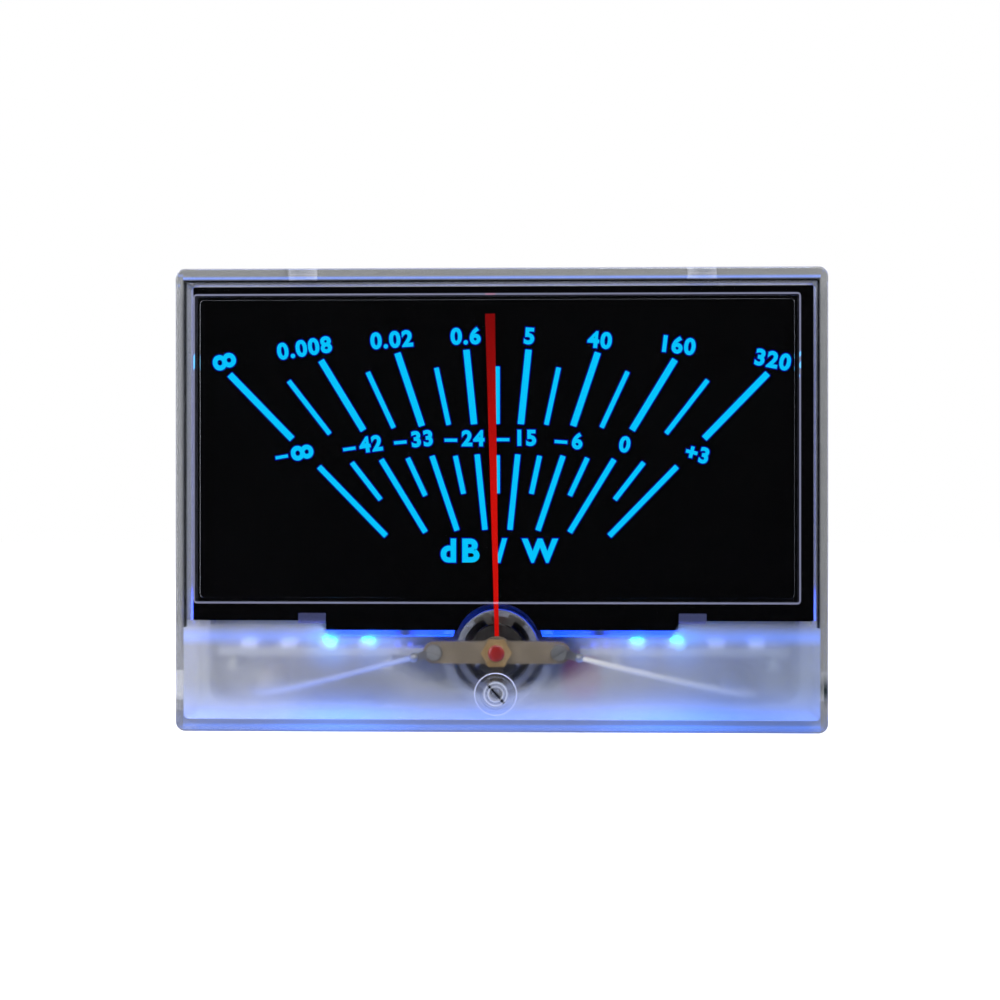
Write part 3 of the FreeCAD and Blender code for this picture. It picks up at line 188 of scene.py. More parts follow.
def turn(degrees: float) -> Matrix:
    """Return the matrix that turns a mesh clockwise, seen from the front, about the depth axis."""
    return Matrix.Rotation(math.radians(degrees), 4, "Y")


def box_of(node: str) -> Box:
    """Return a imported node's lowest and highest corner in millimetres."""
    low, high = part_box(node)
    return low / MM, high / MM


def row_of(thing: Object, gap: float) -> list[Box]:
    """Split a node whose solids stand side by side into the boxes of its solids.

    Args:
        thing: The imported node.
        gap: Corners further apart than this along X belong to different solids, in millimetres.

    Returns:
        The lowest and the highest corner of each solid in millimetres, from left to right.
    """
    corners = sorted((corner.co / MM for corner in thing.data.vertices), key=lambda place: place.x)
    groups = [[corners[0]]]
    for before, corner in zip(corners, corners[1:]):
        if corner.x - before.x > gap:
            groups.append([])
        groups[-1].append(corner)
    return [(Vector(map(min, zip(*group))), Vector(map(max, zip(*group)))) for group in groups]


# ---------------------------------------------------------------- modelling
@dataclass(frozen=True)
class Heap:
    """The sizes of a drop or a cone: its foot, and how much each further ring steps in and up."""

    radius: float
    foot: float
    steps: tuple[tuple[float, float], ...]
    sides: int = 24


class Workpiece:
    """One mesh under work. Each step acts on the faces or edges that were picked last."""

    def __init__(self, thing: Object) -> None:
        """Take an object and bring its turn and scale into its mesh."""
        self.thing = thing
        self.take()
        bpy.ops.object.transform_apply(location=True, rotation=True, scale=True)

    @staticmethod
    def rest() -> None:
        """Leave edit mode with nothing selected."""
        if bpy.context.object and bpy.context.object.mode != "OBJECT":
            bpy.ops.object.mode_set(mode="OBJECT")
        bpy.ops.object.select_all(action="DESELECT")

    def take(self) -> None:
        """Make this the only selected object."""
        self.rest()
        self.thing.select_set(True)
        bpy.context.view_layer.objects.active = self.thing

    @classmethod
    def block(cls, low: Point, high: Point) -> "Workpiece":
        """Start from a block between two corners.

        Args:
            low: Lowest corner in millimetres.
            high: Highest corner in millimetres.

        Returns:
            The block, all of it ready to be picked from.
        """
        cls.rest()
        first, last = Vector(low) * MM, Vector(high) * MM
        bpy.ops.mesh.primitive_cube_add(size=1, location=(first + last) / 2, scale=last - first)
        return cls(bpy.context.object)

    @classmethod
    def rod(
        cls, start: Point, along: Vector, radius: float, length: float, sides: int = 32
    ) -> "Workpiece":
        """Start from a rod.

        Args:
            start: Middle of its first end in millimetres.
            along: The way it runs.
            radius: Its radius in millimetres.
            length: Its length in millimetres.
            sides: How many flat sides it has.

        Returns:
            The rod.
        """
        cls.rest()
        way = along.normalized()
        bpy.ops.mesh.primitive_cylinder_add(
            vertices=sides,
            radius=radius * MM,
            depth=length * MM,
            location=(Vector(start) + way * length / 2) * MM,
            rotation=way.to_track_quat("Z", "Y").to_euler(),
        )
        return cls(bpy.context.object)

    @classmethod
    def heap(cls, start: Point, along: Vector, sizes: Heap) -> "Workpiece":
        """Start from a low disc and raise its free end ring by ring, as a drop or a cone stands.

        Args:
            start: Middle of the face that it stands on, in millimetres.
            along: The way it stands.
            sizes: Its sizes.

        Returns:
            The heap.
        """
        piece = cls.rod(start, along, sizes.radius, sizes.foot, sizes.sides)
        for narrower, higher in sizes.steps:
            piece.pick_end(along).inset(narrower).move(tuple(along * higher))
        return piece

    @classmethod
    def lettering(
        cls,
        words: str,
        height: float,
        thickness: float,
        weight: float,
        grow: float = 0.0,
        gap: float = 1.0,
        word_gap: float = 1.0,
    ) -> "Workpiece":
        """Start from words that face the front, centred on the origin.

        Args:
            words: The characters.
            height: Height of a digit in millimetres.
            thickness: Thickness of the letters in millimetres.
            weight: How far the strokes grow on each side, as a share of the height.
            grow: How far they grow further, in millimetres.
            gap: The step from letter to letter, as a share of the usual one.
            word_gap: The width of a space, as a share of the usual one.

        Returns:
            The lettering as a mesh.
        """
        cls.rest()
        bpy.ops.object.text_add(rotation=(math.pi / 2, 0, 0))
        text = bpy.context.object
        text.data.body = "0"
        bpy.context.view_layer.update()
        size = height * MM / text.dimensions.y
        text.data.body = words
        text.data.size = size
        text.data.offset = weight * size + grow * MM
        text.data.space_character = gap
        text.data.space_word = word_gap
        text.data.extrude = thickness * MM / 2
        text.data.resolution_u = LETTER_STEPS
        text.data.align_x = "CENTER"
        text.data.align_y = "CENTER"
        bpy.ops.object.convert(target="MESH")
        return cls(bpy.context.object)

    @classmethod
    def helix(cls, radius: float, height: float, pitch: float, turns: int) -> "Workpiece":
        """Start from the ridge of a screw thread that climbs from the origin along Z.

        Args:
            radius: The thread's outer radius in millimetres.
            height: How far the ridge stands out of the core, its root included.
            pitch: How far it climbs in one turn.
            turns: How many turns it makes.

        Returns:
            The ridge, closed at both ends.
        """
        cls.rest()
        # A triangle stands one and a half times its outer radius high.
        reach = height / 1.5
        bpy.ops.mesh.primitive_circle_add(vertices=3, radius=reach * MM, fill_type="NOTHING")
        ridge = cls(bpy.context.object)
        upright = Matrix.Rotation(math.pi / 2, 4, "X") @ Matrix.Rotation(-math.pi / 2, 4, "Z")
        ridge.lay(shift(radius - reach, 0, 0) @ upright)
        ridge.take()
        screw = ridge.thing.modifiers.new("thread", "SCREW")
        screw.screw_offset = pitch * MM
        screw.iterations = turns
        screw.steps = screw.render_steps = THREAD_STEPS
        bpy.ops.object.modifier_apply(modifier=screw.name)
        ridge.take()
        bpy.context.tool_settings.mesh_select_mode = (False, True, False)
        bpy.ops.object.mode_set(mode="EDIT")
        bpy.ops.mesh.select_all(action="SELECT")
        bpy.ops.mesh.fill_holes(sides=3)
        return ridge

    def mark(self, parts: list, chosen: Callable[[object], bool]) -> "Workpiece":
        """Select the faces or edges of one kind that are chosen, and go into edit mode."""
        mesh = self.thing.data
        for group in (mesh.vertices, mesh.edges, mesh.polygons):
            for part in group:
                part.select = False
        for part in parts:
            part.select = chosen(part)
        bpy.ops.object.mode_set(mode="EDIT")
        return self

    def pick(self, test: Test) -> "Workpiece":
        """Select the faces that pass a test of their middle, in millimetres, and their normal."""
        self.take()
        bpy.context.tool_settings.mesh_select_mode = (False, False, True)
        return self.mark(self.thing.data.polygons, lambda face: test(face.center / MM, face.normal))

    def pick_end(self, way: Vector) -> "Workpiece":
        """Select the faces that lie furthest in one direction."""
        self.take()
        reach = max(face.center.dot(way) for face in self.thing.data.polygons) / MM
        return self.pick(lambda middle, normal: middle.dot(way) > reach - NEAR)

    def pick_edges(self, test: Test) -> "Workpiece":
        """Select the edges that pass a test of their middle, in millimetres, and direction."""
        self.take()
        bpy.context.tool_settings.mesh_select_mode = (False, True, False)
        corners = self.thing.data.vertices

        def chosen(edge: object) -> bool:
            """Test one edge."""
            first, last = (corners[index].co for index in edge.vertices)
            return test((first + last) / 2 / MM, (last - first).normalized())

        return self.mark(self.thing.data.edges, chosen)

    def push(self, by: Point) -> "Workpiece":
        """Extrude what is picked by a vector in millimetres."""
        bpy.ops.mesh.extrude_region_move(TRANSFORM_OT_translate={"value": Vector(by) * MM})
        return self

    def inset(self, width: float) -> "Workpiece":
        """Inset the picked faces by a width in millimetres."""
        bpy.ops.mesh.inset(thickness=width * MM, depth=0.0)
        return self

    def bevel(self, width: float, segments: int = 2) -> "Workpiece":
        """Round the picked edges, or the edges of the picked faces."""
        bpy.ops.mesh.bevel(offset=width * MM, segments=segments, affect="EDGES")
        return self

    def stretch(self, factors: Point, about: Point) -> "Workpiece":
        """Scale what is picked about a point in millimetres."""
        bpy.ops.transform.resize(value=factors, center_override=Vector(about) * MM)
        return self

    def move(self, by: Point) -> "Workpiece":
        """Shift what is picked by a vector in millimetres."""
        bpy.ops.transform.translate(value=Vector(by) * MM)
        return self

    def lay(self, matrix: Matrix) -> "Workpiece":
        """Put the whole mesh somewhere else."""
        self.take()
        self.thing.data.transform(matrix)
        self.thing.data.update()
        return self

    def copy(self, matrix: Matrix) -> "Workpiece":
        """Return another piece with its own mesh, laid by a matrix."""
        self.take()
        twin = self.thing.copy()
        twin.data = self.thing.data.copy()
        bpy.context.scene.collection.objects.link(twin)
        return Workpiece(twin).lay(matrix)

    def join(self, others: list["Workpiece"]) -> "Workpiece":
        """Take other pieces into this one's mesh."""
        self.take()
        for other in others:
            other.thing.select_set(True)
        if others:
            bpy.ops.object.join()
        return self

    @staticmethod
    def whole(pieces: list["Workpiece"]) -> "Workpiece":
        """Join pieces into the first one's mesh."""
        return pieces[0].join(pieces[1:])

    def finish(
        self, name: str, body: Body, material: Material, slot: str, soft_below: float = 35.0
    ) -> Object:
        """Name, smooth, paint and mount the piece.

        Args:
            name: The piece's name.
            body: The body it moves with.
            material: Its material.
            slot: The record's material slot; not used.
            soft_below: Edges under this many degrees are shaded smooth.

        Returns:
            The finished object.
        """
        self.take()
        self.thing.name = name
        self.thing.data.name = name
        self.thing.data.materials.clear()
        self.thing.data.materials.append(material)
        bpy.ops.object.mode_set(mode="EDIT")
        bpy.ops.mesh.select_all(action="SELECT")
        bpy.ops.mesh.normals_make_consistent(inside=False)
        bpy.ops.object.mode_set(mode="OBJECT")
        bpy.ops.object.shade_smooth_by_angle(angle=math.radians(soft_below))
        self.rest()
        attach(self.thing, body.value)
        LOG.info("made %s, %d faces", name, len(self.thing.data.polygons))
        return self.thing


# ---------------------------------------------------------------- finishes
@dataclass(frozen=True)
class Finish:
    """A material: its real name, two tones and how it shines. Subclasses draw its pattern."""

    name: str
    tone: str
    shade: str
    roughness: float
    grain: float
    relief: float = 0.004
    uneven: float = 0.08
    metallic: float = 0.0
    ior: float = 1.5
    coat: float = 0.0
    specular: float = 0.5
    glow: str = ""
    glow_strength: float = 0.0
    patch_span: float = 12.0

    def pattern(self, tree: NodeTree, place: Feed) -> Feed:
        """Draw the surface's pattern as a height from nought to one."""
        fine = {"Vector": place, "Scale": per(self.grain), "Detail": 4.0, "Roughness": 0.6}
        return add(tree, "TexNoise", fine)

    def patches(self, tree: NodeTree, place: Feed) -> Feed:
        """Draw where the second tone shows, from nought to one."""
        size = self.grain * self.patch_span
        wide = add(tree, "TexNoise", {"Vector": place, "Scale": per(size), "Detail": 3.0})
        share = {"Value": wide, "From Min": NOISE_LOW, "From Max": NOISE_HIGH}
        return add(tree, "MapRange", share)

    def bump(self, tree: NodeTree, height: Feed) -> Feed:
        """Turn the pattern's height into relief."""
        return add(tree, "Bump", {"Height": height, "Distance": self.relief * MM, "Strength": 1.0})

    def shader(self, tree: NodeTree, place: Feed) -> Feed:
        """Build the surface's shader."""
        height = self.pattern(tree, place)
        tones = {0: self.patches(tree, place), 6: linear(self.tone), 7: linear(self.shade)}
        low = max(self.roughness - self.uneven, SMOOTHEST)
        high = self.roughness + self.uneven
        values: dict[str | int, object] = {
            "Base Color": add(tree, "Mix", tones, data_type="RGBA"),
            "Roughness": add(tree, "MapRange", {"Value": height, "To Min": low, "To Max": high}),
            "Metallic": self.metallic,
            "Normal": self.bump(tree, height),
            "Coat Weight": self.coat,
            "Specular IOR Level": self.specular,
        }
        if not self.metallic:
            values["IOR"] = self.ior
        if self.glow:
            values["Emission Color"] = linear(self.glow)
            values["Emission Strength"] = self.glow_strength
        return add(tree, "BsdfPrincipled", values)

    def make(self) -> Material:
        """Return the finished material."""
        material = bpy.data.materials.new(self.name)
        material.use_nodes = True
        tree = material.node_tree
        tree.nodes.clear()
        place = add(tree, "TexCoord").outputs["Object"]
        add(tree, "OutputMaterial", {"Surface": self.shader(tree, place)})
        return material


@dataclass(frozen=True)
class Cast(Finish):
    """Die-cast metal: a skin of small flat grains with cloudy darker patches."""

    def pattern(self, tree: NodeTree, place: Feed) -> Feed:
        """Draw the cast skin's grains."""
        grains = {"Vector": place, "Scale": per(self.grain)}
        cells = add(tree, "TexVoronoi", grains, feature="SMOOTH_F1")
        return add(tree, "Math", {0: cells, 1: super().pattern(tree, place)}, operation="MULTIPLY")


@dataclass(frozen=True)
class Turned(Finish):
    """Lathe-turned metal: fine rings round the part's own axis along the depth.

    A pair of parts lies at `middle_x` to each side of nought, and a single part at AXIS_X.
    """

    middle_x: float = AXIS_X
    middle_z: float = PIVOT_Z
    pair: bool = False

    def pattern(self, tree: NodeTree, place: Feed) -> Feed:
        """Draw the rings that the tool left."""
        parts = add(tree, "SeparateXYZ", {"Vector": place}).outputs
        across = parts["X"]
        if self.pair:
            across = add(tree, "Math", {0: across}, operation="ABSOLUTE")
        flat = add(tree, "CombineXYZ", {"X": across, "Z": parts["Z"]})
        middle = (-self.middle_x * MM, 0.0, -self.middle_z * MM)
        about = add(tree, "Mapping", {"Vector": flat, "Location": middle})
        rings = {"Vector": about, "Scale": bands(self.grain), "Distortion": 1.5, "Detail": 3.0}
        kind = {"wave_type": "RINGS", "rings_direction": "SPHERICAL"}
        return add(tree, "TexWave", rings, **kind).outputs["Fac"]


@dataclass(frozen=True)
class Rolled(Finish):
    """Rolled sheet or drawn wire: long faint lines one way, with the odd scratch."""

    along: Point = (0.06, 1.0, 1.0)

    def pattern(self, tree: NodeTree, place: Feed) -> Feed:
        """Draw the rolling lines."""
        drawn = add(tree, "Mapping", {"Vector": place, "Scale": self.along})
        lines = {"Vector": drawn, "Scale": per(self.grain), "Detail": 5.0, "Roughness": 0.7}
        return add(tree, "TexNoise", lines)


@dataclass(frozen=True)
class Wound(Finish):
    """Fine wire laid side by side: rounded ridges across the depth."""

    def pattern(self, tree: NodeTree, place: Feed) -> Feed:
        """Draw the turns of wire."""
        turns = {"Vector": place, "Scale": bands(self.grain), "Distortion": 0.6, "Detail": 1.0}
        return add(tree, "TexWave", turns, bands_direction="DIAGONAL").outputs["Fac"]


@dataclass(frozen=True)
class Laminate(Finish):
    """Glass cloth in epoxy under a printed mask: the weave shows faintly through."""

    def pattern(self, tree: NodeTree, place: Feed) -> Feed:
        """Draw the cloth's two sets of threads."""
        threads = {"Vector": place, "Scale": bands(self.grain)}
        warp = add(tree, "TexWave", threads, bands_direction="X").outputs["Fac"]
        weft = add(tree, "TexWave", threads, bands_direction="Y").outputs["Fac"]
        return add(tree, "Math", {0: warp, 1: weft}, operation="MULTIPLY")


@dataclass(frozen=True)
class SprayedPaintedShade(Finish):
    """Sprayed sheet metal, with painted light low down that turns to painted shade up high."""

    low_z: float = 40.0
    high_z: float = 88.0

    def patches(self, tree: NodeTree, place: Feed) -> Feed:
        """Draw the painted change from the lit tone at the bottom to the shaded one at the top."""
        height = add(tree, "SeparateXYZ", {"Vector": place}).outputs["Z"]
        climb = {"Value": height, "From Min": self.low_z * MM, "From Max": self.high_z * MM}
        return add(tree, "MapRange", climb, interpolation_type="SMOOTHSTEP")


@dataclass(frozen=True)
class Clear(Finish):
    """Clear moulded plastic: almost smooth, with broad flow waves and a faint tint.

    Lamps' rays pass straight through, so that what lies behind is lit.
    """

    clearness: float = 1.0

    def axes(self, tree: NodeTree, place: Feed) -> tuple[Feed, Feed, Feed]:
        """Split a place into X, how far it lies from the middle to either side, and height."""
        parts = add(tree, "SeparateXYZ", {"Vector": place}).outputs
        return parts["X"], add(tree, "Math", {0: parts["X"]}, operation="ABSOLUTE"), parts["Z"]

    def facing(self, tree: NodeTree) -> tuple[Feed, Feed]:
        """Return how far the surface's normal points back along the depth, and how far up."""
        normal = add(tree, "TexCoord").outputs["Normal"]
        parts = add(tree, "SeparateXYZ", {"Vector": normal}).outputs
        return parts["Y"], parts["Z"]

    def gloss(self, tree: NodeTree, place: Feed) -> Feed | float:
        """Say how rough the surface is, the same all over unless a subclass draws it."""
        return self.roughness

    def tint(self, tree: NodeTree, place: Feed) -> object:
        """Say what colour passes, the same all over unless a subclass draws it."""
        return linear(self.tone)

    def passing(self, tree: NodeTree, place: Feed) -> Feed | float:
        """Say how much light passes, the same all over unless a subclass draws it."""
        return self.clearness

    def light(self, tree: NodeTree, place: Feed) -> tuple[object, object]:
        """Draw the painted glow's colour and strength, for the light that the plastic leads."""
        return linear(self.glow or self.tone), self.glow_strength

    def shader(self, tree: NodeTree, place: Feed) -> Feed:
        """Build the clear surface with its share for shadow rays."""
        values: dict[str | int, object] = {
            "Base Color": self.tint(tree, place),
            "Roughness": self.gloss(tree, place),
            "IOR": self.ior,
            "Transmission Weight": self.passing(tree, place),
            "Normal": self.bump(tree, self.pattern(tree, place)),
        }
        values["Emission Color"], values["Emission Strength"] = self.light(tree, place)
        glass = add(tree, "BsdfPrincipled", values)
        through = add(tree, "BsdfTransparent", {"Color": linear(self.shade)})
        shadow = add(tree, "LightPath").outputs["Is Shadow Ray"]
        return add(tree, "MixShader", {0: shadow, 1: glass, 2: through})


@dataclass(frozen=True)
class EdgeLit(Clear):
    """Sawn acrylic lit through its lower edge: its cut edges glow, most of all low down.

    The strip of its front that stands out below the dial glows too, and fades midway between
    the lamps and the movement. Both glows are painted on, standing in for the lamps' light
    that the acrylic leads.
    """

    strip_top: float = 20.45
    strip_strength: float = 1.0
    bright_below: float = 26.0
    dim_above: float = 30.0
    dim_share: float = 0.06
    dark_at: float = 20.5
    dark_half: float = 3.0
    dark_share: float = 0.04
    # How much of its normal lies along the depth where a face counts as front and as edge.
    faces_front: float = 0.7
    faces_aside: float = 0.3

    def light(self, tree: NodeTree, place: Feed) -> tuple[object, object]:
        """Draw the painted glow of the cut edges and of the strip."""
        _, across, height = self.axes(tree, place)
        depth = add(tree, "Math", {0: self.facing(tree)[0]}, operation="ABSOLUTE")
        edge = {"Value": depth, "From Min": self.faces_front, "From Max": self.faces_aside}
        fall = {
            "Value": height,
            "From Min": self.bright_below * MM,
            "From Max": self.dim_above * MM,
            "To Min": self.glow_strength,
            "To Max": self.glow_strength * self.dim_share,
        }
        both = {0: add(tree, "MapRange", edge), 1: add(tree, "MapRange", fall)}
        cut = add(tree, "Math", both, operation="MULTIPLY")
        ends = (self.strip_strength, self.dark_share)
        notch = hump(tree, across, self.dark_at, self.dark_half, *ends)
        below = add(tree, "Math", {0: height, 1: self.strip_top * MM}, operation="LESS_THAN")
        strip = add(tree, "Math", {0: below, 1: notch}, operation="MULTIPLY")
        return linear(self.glow), add(tree, "Math", {0: cut, 1: strip}, operation="MAXIMUM")


@dataclass(frozen=True)
class FrostedFoot(Clear):
    """Clear plastic from a tool that is polished over the dial and etched below it.

    Over the movement the etching is fine, and to both sides it is coarse and milky; to the
    right, painted shade makes it a little bluer and darker. Seen end on, the walls are pale.
    The lamps' light that the plastic leads is painted on as glow: on the bottom wall's inner
    face below them, on the etched face, brightest in a painted halo round each strong lamp,
    and thinly at the bevelled edges and along the top and bottom walls. A painted dark line
    along the walls' inner edge stands in for their reflection of the dial, and painted shadow
    over the housing's snaps darkens the right wall and the top.
    """

    fine_frost: float = 0.18
    coarse_frost: float = 0.24
    milkiness: float = 0.14
    clear_above: float = 20.4
    frosted_below: float = 18.4
    mottle: float = 2.5
    mottle_share: float = 0.12
    milky_least: float = 0.5
    milky_most: float = 1.3
    lift: float = 2.6
    lift_x: float = 36.0
    lift_blur: float = 1.0
    middle_half: float = 17.5
    middle_rise: float = 6.5
    middle_end: float = 0.85
    middle_beyond: float = 1.4
    cloud: float = 24.0
    wall_x: float = 65.4
    wall_top: float = 92.8
    floor_top: float = 2.7
    wall_clearness: float = 0.78
    # How much of its normal points ahead, upwards or along the depth where a face counts as
    # front, as floor or as bevel.
    side_on: float = -0.7
    head_on: float = -0.9
    floor_tilted: float = 0.5
    floor_level: float = 0.9
    bevel_slope: float = 0.7
    bevel_spread: float = 0.12
    # Painted glow: under the lamps across, and in bands on the bottom wall and etched face.
    lamps_x: float = 34.0
    lamps_reach: float = 22.0
    floor_share: float = 0.55
    upper_band: float = 19.6
    upper_reach: float = 2.4
    upper_strength: float = 0.28
    lower_band: float = 3.0
    lower_reach: float = 8.5
    lower_strength: float = 0.3
    # Painted reflection of the dial: a dark line along the walls' inner edge.
    line_x: float = 65.05
    line_top: float = 92.75
    line_reach: float = 0.55
    line_foot: float = 21.5
    dial_reflection_tone: str = "08090C"
    # Painted pale glow on the bevelled edges.
    edge_glow_tone: str = "B8BCE6"
    edge_strength: float = 0.35
    # Painted halos round the strong lamps, and their fainter spread over the etched face.
    spots: tuple[Point, ...] = ()
    halo_glow_tone: str = "18C4FF"
    spot_reach: float = 3.0
    spot_strength: float = 0.75
    halo_spread_reach: float = 8.0
    halo_spread_share: float = 0.32
    # Painted glowing lines along the top and bottom walls' fronts.
    top_line: float = 93.35
    top_line_reach: float = 0.5
    top_line_strength: float = 0.7
    low_line: float = 1.35
    low_line_reach: float = 0.8
    low_line_strength: float = 0.6
    # Painted shadow over the snap in the right wall and over the snaps behind the top wall.
    snap_x: float = 66.1
    snap_z: float = 8.7
    snap_reach: float = 4.2
    snap_shadow_tone: str = "1C3038"
    top_snap_x: float = 42.0
    top_snap_reach: float = 4.4
    top_snap_foot: float = 93.0
    top_snap_shadow_tone: str = "DCDEE4"
    # Painted shade: the etched face turns bluer and darker toward the right.
    shade_from: float = 18.0
    shade_to: float = 46.0
    right_painted_tint: str = "DEE8FB"

    def ahead(self, tree: NodeTree) -> Feed:
        """Draw where the surface faces the front, from nought to one."""
        limits = {
            "Value": self.facing(tree)[0],
            "From Min": self.side_on,
            "From Max": self.head_on,
        }
        return add(tree, "MapRange", limits)

    def etched(self, tree: NodeTree, place: Feed) -> tuple[Feed, Feed]:
        """Draw where the tool is etched at all, and where it is coarse, from nought to one."""
        _, across, height = self.axes(tree, place)
        step = {
            "Value": across,
            "From Min": (self.lift_x - self.lift_blur) * MM,
            "From Max": (self.lift_x + self.lift_blur) * MM,
            "To Min": 0.0,
            "To Max": self.lift * MM,
        }
        rise = add(tree, "MapRange", step)
        fade = {
            "Value": add(tree, "Math", {0: height, 1: rise}, operation="SUBTRACT"),
            "From Min": self.clear_above * MM,
            "From Max": self.frosted_below * MM,
        }
        low = add(tree, "MapRange", fade, interpolation_type="SMOOTHSTEP")
        middle = {0: place, 1: (AXIS_X * MM, 0.0, PIVOT_Z * MM)}
        about = add(tree, "VectorMath", middle, operation="SUBTRACT")
        size = (per(self.middle_half), 0.0, per(self.middle_rise))
        oval = add(tree, "VectorMath", {0: about, 1: size}, operation="MULTIPLY")
        away = add(tree, "VectorMath", {0: oval}, operation="LENGTH")
        edge = {"Value": away, "From Min": self.middle_end, "From Max": self.middle_beyond}
        coarse = add(tree, "MapRange", edge, interpolation_type="SMOOTHSTEP")
        inside = add(tree, "Math", {0: across, 1: self.wall_x * MM}, operation="LESS_THAN")
        both = add(tree, "Math", {0: coarse, 1: inside}, operation="MULTIPLY")
        return low, add(tree, "Math", {0: low, 1: both}, operation="MULTIPLY")

    def tint(self, tree: NodeTree, place: Feed) -> Feed:
        """Draw painted shade to the right, the dial's painted reflection and painted snap shadows.
        """
        along, across, height = self.axes(tree, place)
        side = add(tree, "Math", {0: across, 1: self.line_x * MM}, operation="SUBTRACT")
        top = add(tree, "Math", {0: height, 1: self.line_top * MM}, operation="SUBTRACT")
        frame = add(tree, "Math", {0: side, 1: top}, operation="MAXIMUM")
        above = add(tree, "Math", {0: height, 1: self.line_foot * MM}, operation="GREATER_THAN")
        where = add(tree, "Math", {0: above, 1: self.ahead(tree)}, operation="MULTIPLY")
        outer = add(tree, "Math", {0: along, 1: self.snap_x * MM}, operation="GREATER_THAN")
        high = add(tree, "Math", {0: height, 1: self.top_snap_foot * MM}, operation="GREATER_THAN")
        # Each darker tone shows where both of its two shares are high.
        layers = (
            (hump(tree, frame, 0.0, self.line_reach), where, self.dial_reflection_tone),
            (outer, hump(tree, height, self.snap_z, self.snap_reach), self.snap_shadow_tone),
            (high, hump(tree, across, self.top_snap_x, self.top_snap_reach), self.top_snap_shadow_tone),
        )
        right = {
            "Value": along,
            "From Min": self.shade_from * MM,
            "From Max": self.shade_to * MM,
            "To Max": self.etched(tree, place)[1],
        }
        shade = add(tree, "MapRange", right, interpolation_type="SMOOTHSTEP")
        tones = {0: shade, 6: linear(self.tone), 7: linear(self.right_painted_tint)}
        tone = add(tree, "Mix", tones, data_type="RGBA")
        for first, last, dark in layers:
            share = add(tree, "Math", {0: first, 1: last}, operation="MULTIPLY")
            tone = add(tree, "Mix", {0: share, 6: tone, 7: linear(dark)}, data_type="RGBA")
        return tone

    def gloss(self, tree: NodeTree, place: Feed) -> Feed:
        """Draw the change from polished to frosted, with the etching's own mottle."""
        low, coarse = self.etched(tree, place)
        fine = {"Value": low, "To Min": self.roughness, "To Max": self.fine_frost}
        mottle = {"Vector": place, "Scale": per(self.mottle), "Detail": 3.0}
        spread = {
            "Value": add(tree, "TexNoise", mottle),
            "To Min": self.coarse_frost * (1.0 - self.mottle_share),
            "To Max": self.coarse_frost * (1.0 + self.mottle_share),
        }
        change = {
            "Value": coarse,
            "To Min": add(tree, "MapRange", fine),
            "To Max": add(tree, "MapRange", spread),
        }
        return add(tree, "MapRange", change)

    def passing(self, tree: NodeTree, place: Feed) -> Feed:
        """Draw how much light passes: less where the face is milky and through a wall end on."""
        _, across, height = self.axes(tree, place)
        side = add(tree, "Math", {0: across, 1: self.wall_x * MM}, operation="GREATER_THAN")
        top = add(tree, "Math", {0: height, 1: self.wall_top * MM}, operation="GREATER_THAN")
        foot = add(tree, "Math", {0: height, 1: self.floor_top * MM}, operation="LESS_THAN")
        ends = add(tree, "Math", {0: top, 1: foot}, operation="MAXIMUM")
        clouds = {"Vector": place, "Scale": per(self.cloud), "Detail": 1.0}
        thin = {
            "Value": add(tree, "TexNoise", clouds),
            "From Min": NOISE_LOW,
            "From Max": NOISE_HIGH,
            "To Min": 1.0 - self.milkiness * self.milky_least,
            "To Max": 1.0 - self.milkiness * self.milky_most,
        }
        veil = add(tree, "MapRange", thin)
        milky = {"Value": self.etched(tree, place)[1], "To Min": 1.0, "To Max": veil}
        share = {
            "Value": add(tree, "Math", {0: side, 1: ends}, operation="MAXIMUM"),
            "To Min": add(tree, "MapRange", milky),
            "To Max": self.wall_clearness,
        }
        return add(tree, "MapRange", share)

    def halo(self, tree: NodeTree, place: Feed) -> Feed:
        """Draw the painted halo before each strong lamp, and its fainter painted spread round it.
        """
        flat = add(tree, "VectorMath", {0: place, 1: (1.0, 0.0, 1.0)}, operation="MULTIPLY")
        halo: Feed | float = 0.0
        halo_spread: Feed | float = 0.0
        for x, share, z in self.spots:
            ends = {0: flat, 1: (x * MM, 0.0, z * MM)}
            apart = add(tree, "VectorMath", ends, operation="DISTANCE")
            near = hump(tree, apart, 0.0, self.spot_reach, 0.0, share)
            halo = add(tree, "Math", {0: halo, 1: near}, operation="MAXIMUM")
            wide = hump(tree, apart, 0.0, self.halo_spread_reach, 0.0, share * self.halo_spread_share)
            halo_spread = add(tree, "Math", {0: halo_spread, 1: wide}, operation="MAXIMUM")
        halo_spread = add(tree, "Math", {0: halo_spread, 1: self.etched(tree, place)[0]}, operation="MULTIPLY")
        return add(tree, "Math", {0: halo, 1: halo_spread}, operation="MAXIMUM")

    def light(self, tree: NodeTree, place: Feed) -> tuple[object, object]:
        """Draw the painted glow on the walls, the etched face and the bevels."""
        _, across, height = self.axes(tree, place)
        back, up = self.facing(tree)
        ahead = self.ahead(tree)
        under = hump(tree, across, self.lamps_x, self.lamps_reach, self.floor_share, 1.0)
        # Painted glow on the bottom wall's inner face, most of all under the lamps.
        upward = {"Value": up, "From Min": self.floor_tilted, "From Max": self.floor_level}
        below = add(tree, "Math", {0: height, 1: self.floor_top * MM}, operation="LESS_THAN")
        face = add(tree, "Math", {0: add(tree, "MapRange", upward), 1: below}, operation="MULTIPLY")
        full = add(tree, "Math", {0: face, 1: self.glow_strength}, operation="MULTIPLY")
        floor = add(tree, "Math", {0: full, 1: under}, operation="MULTIPLY")
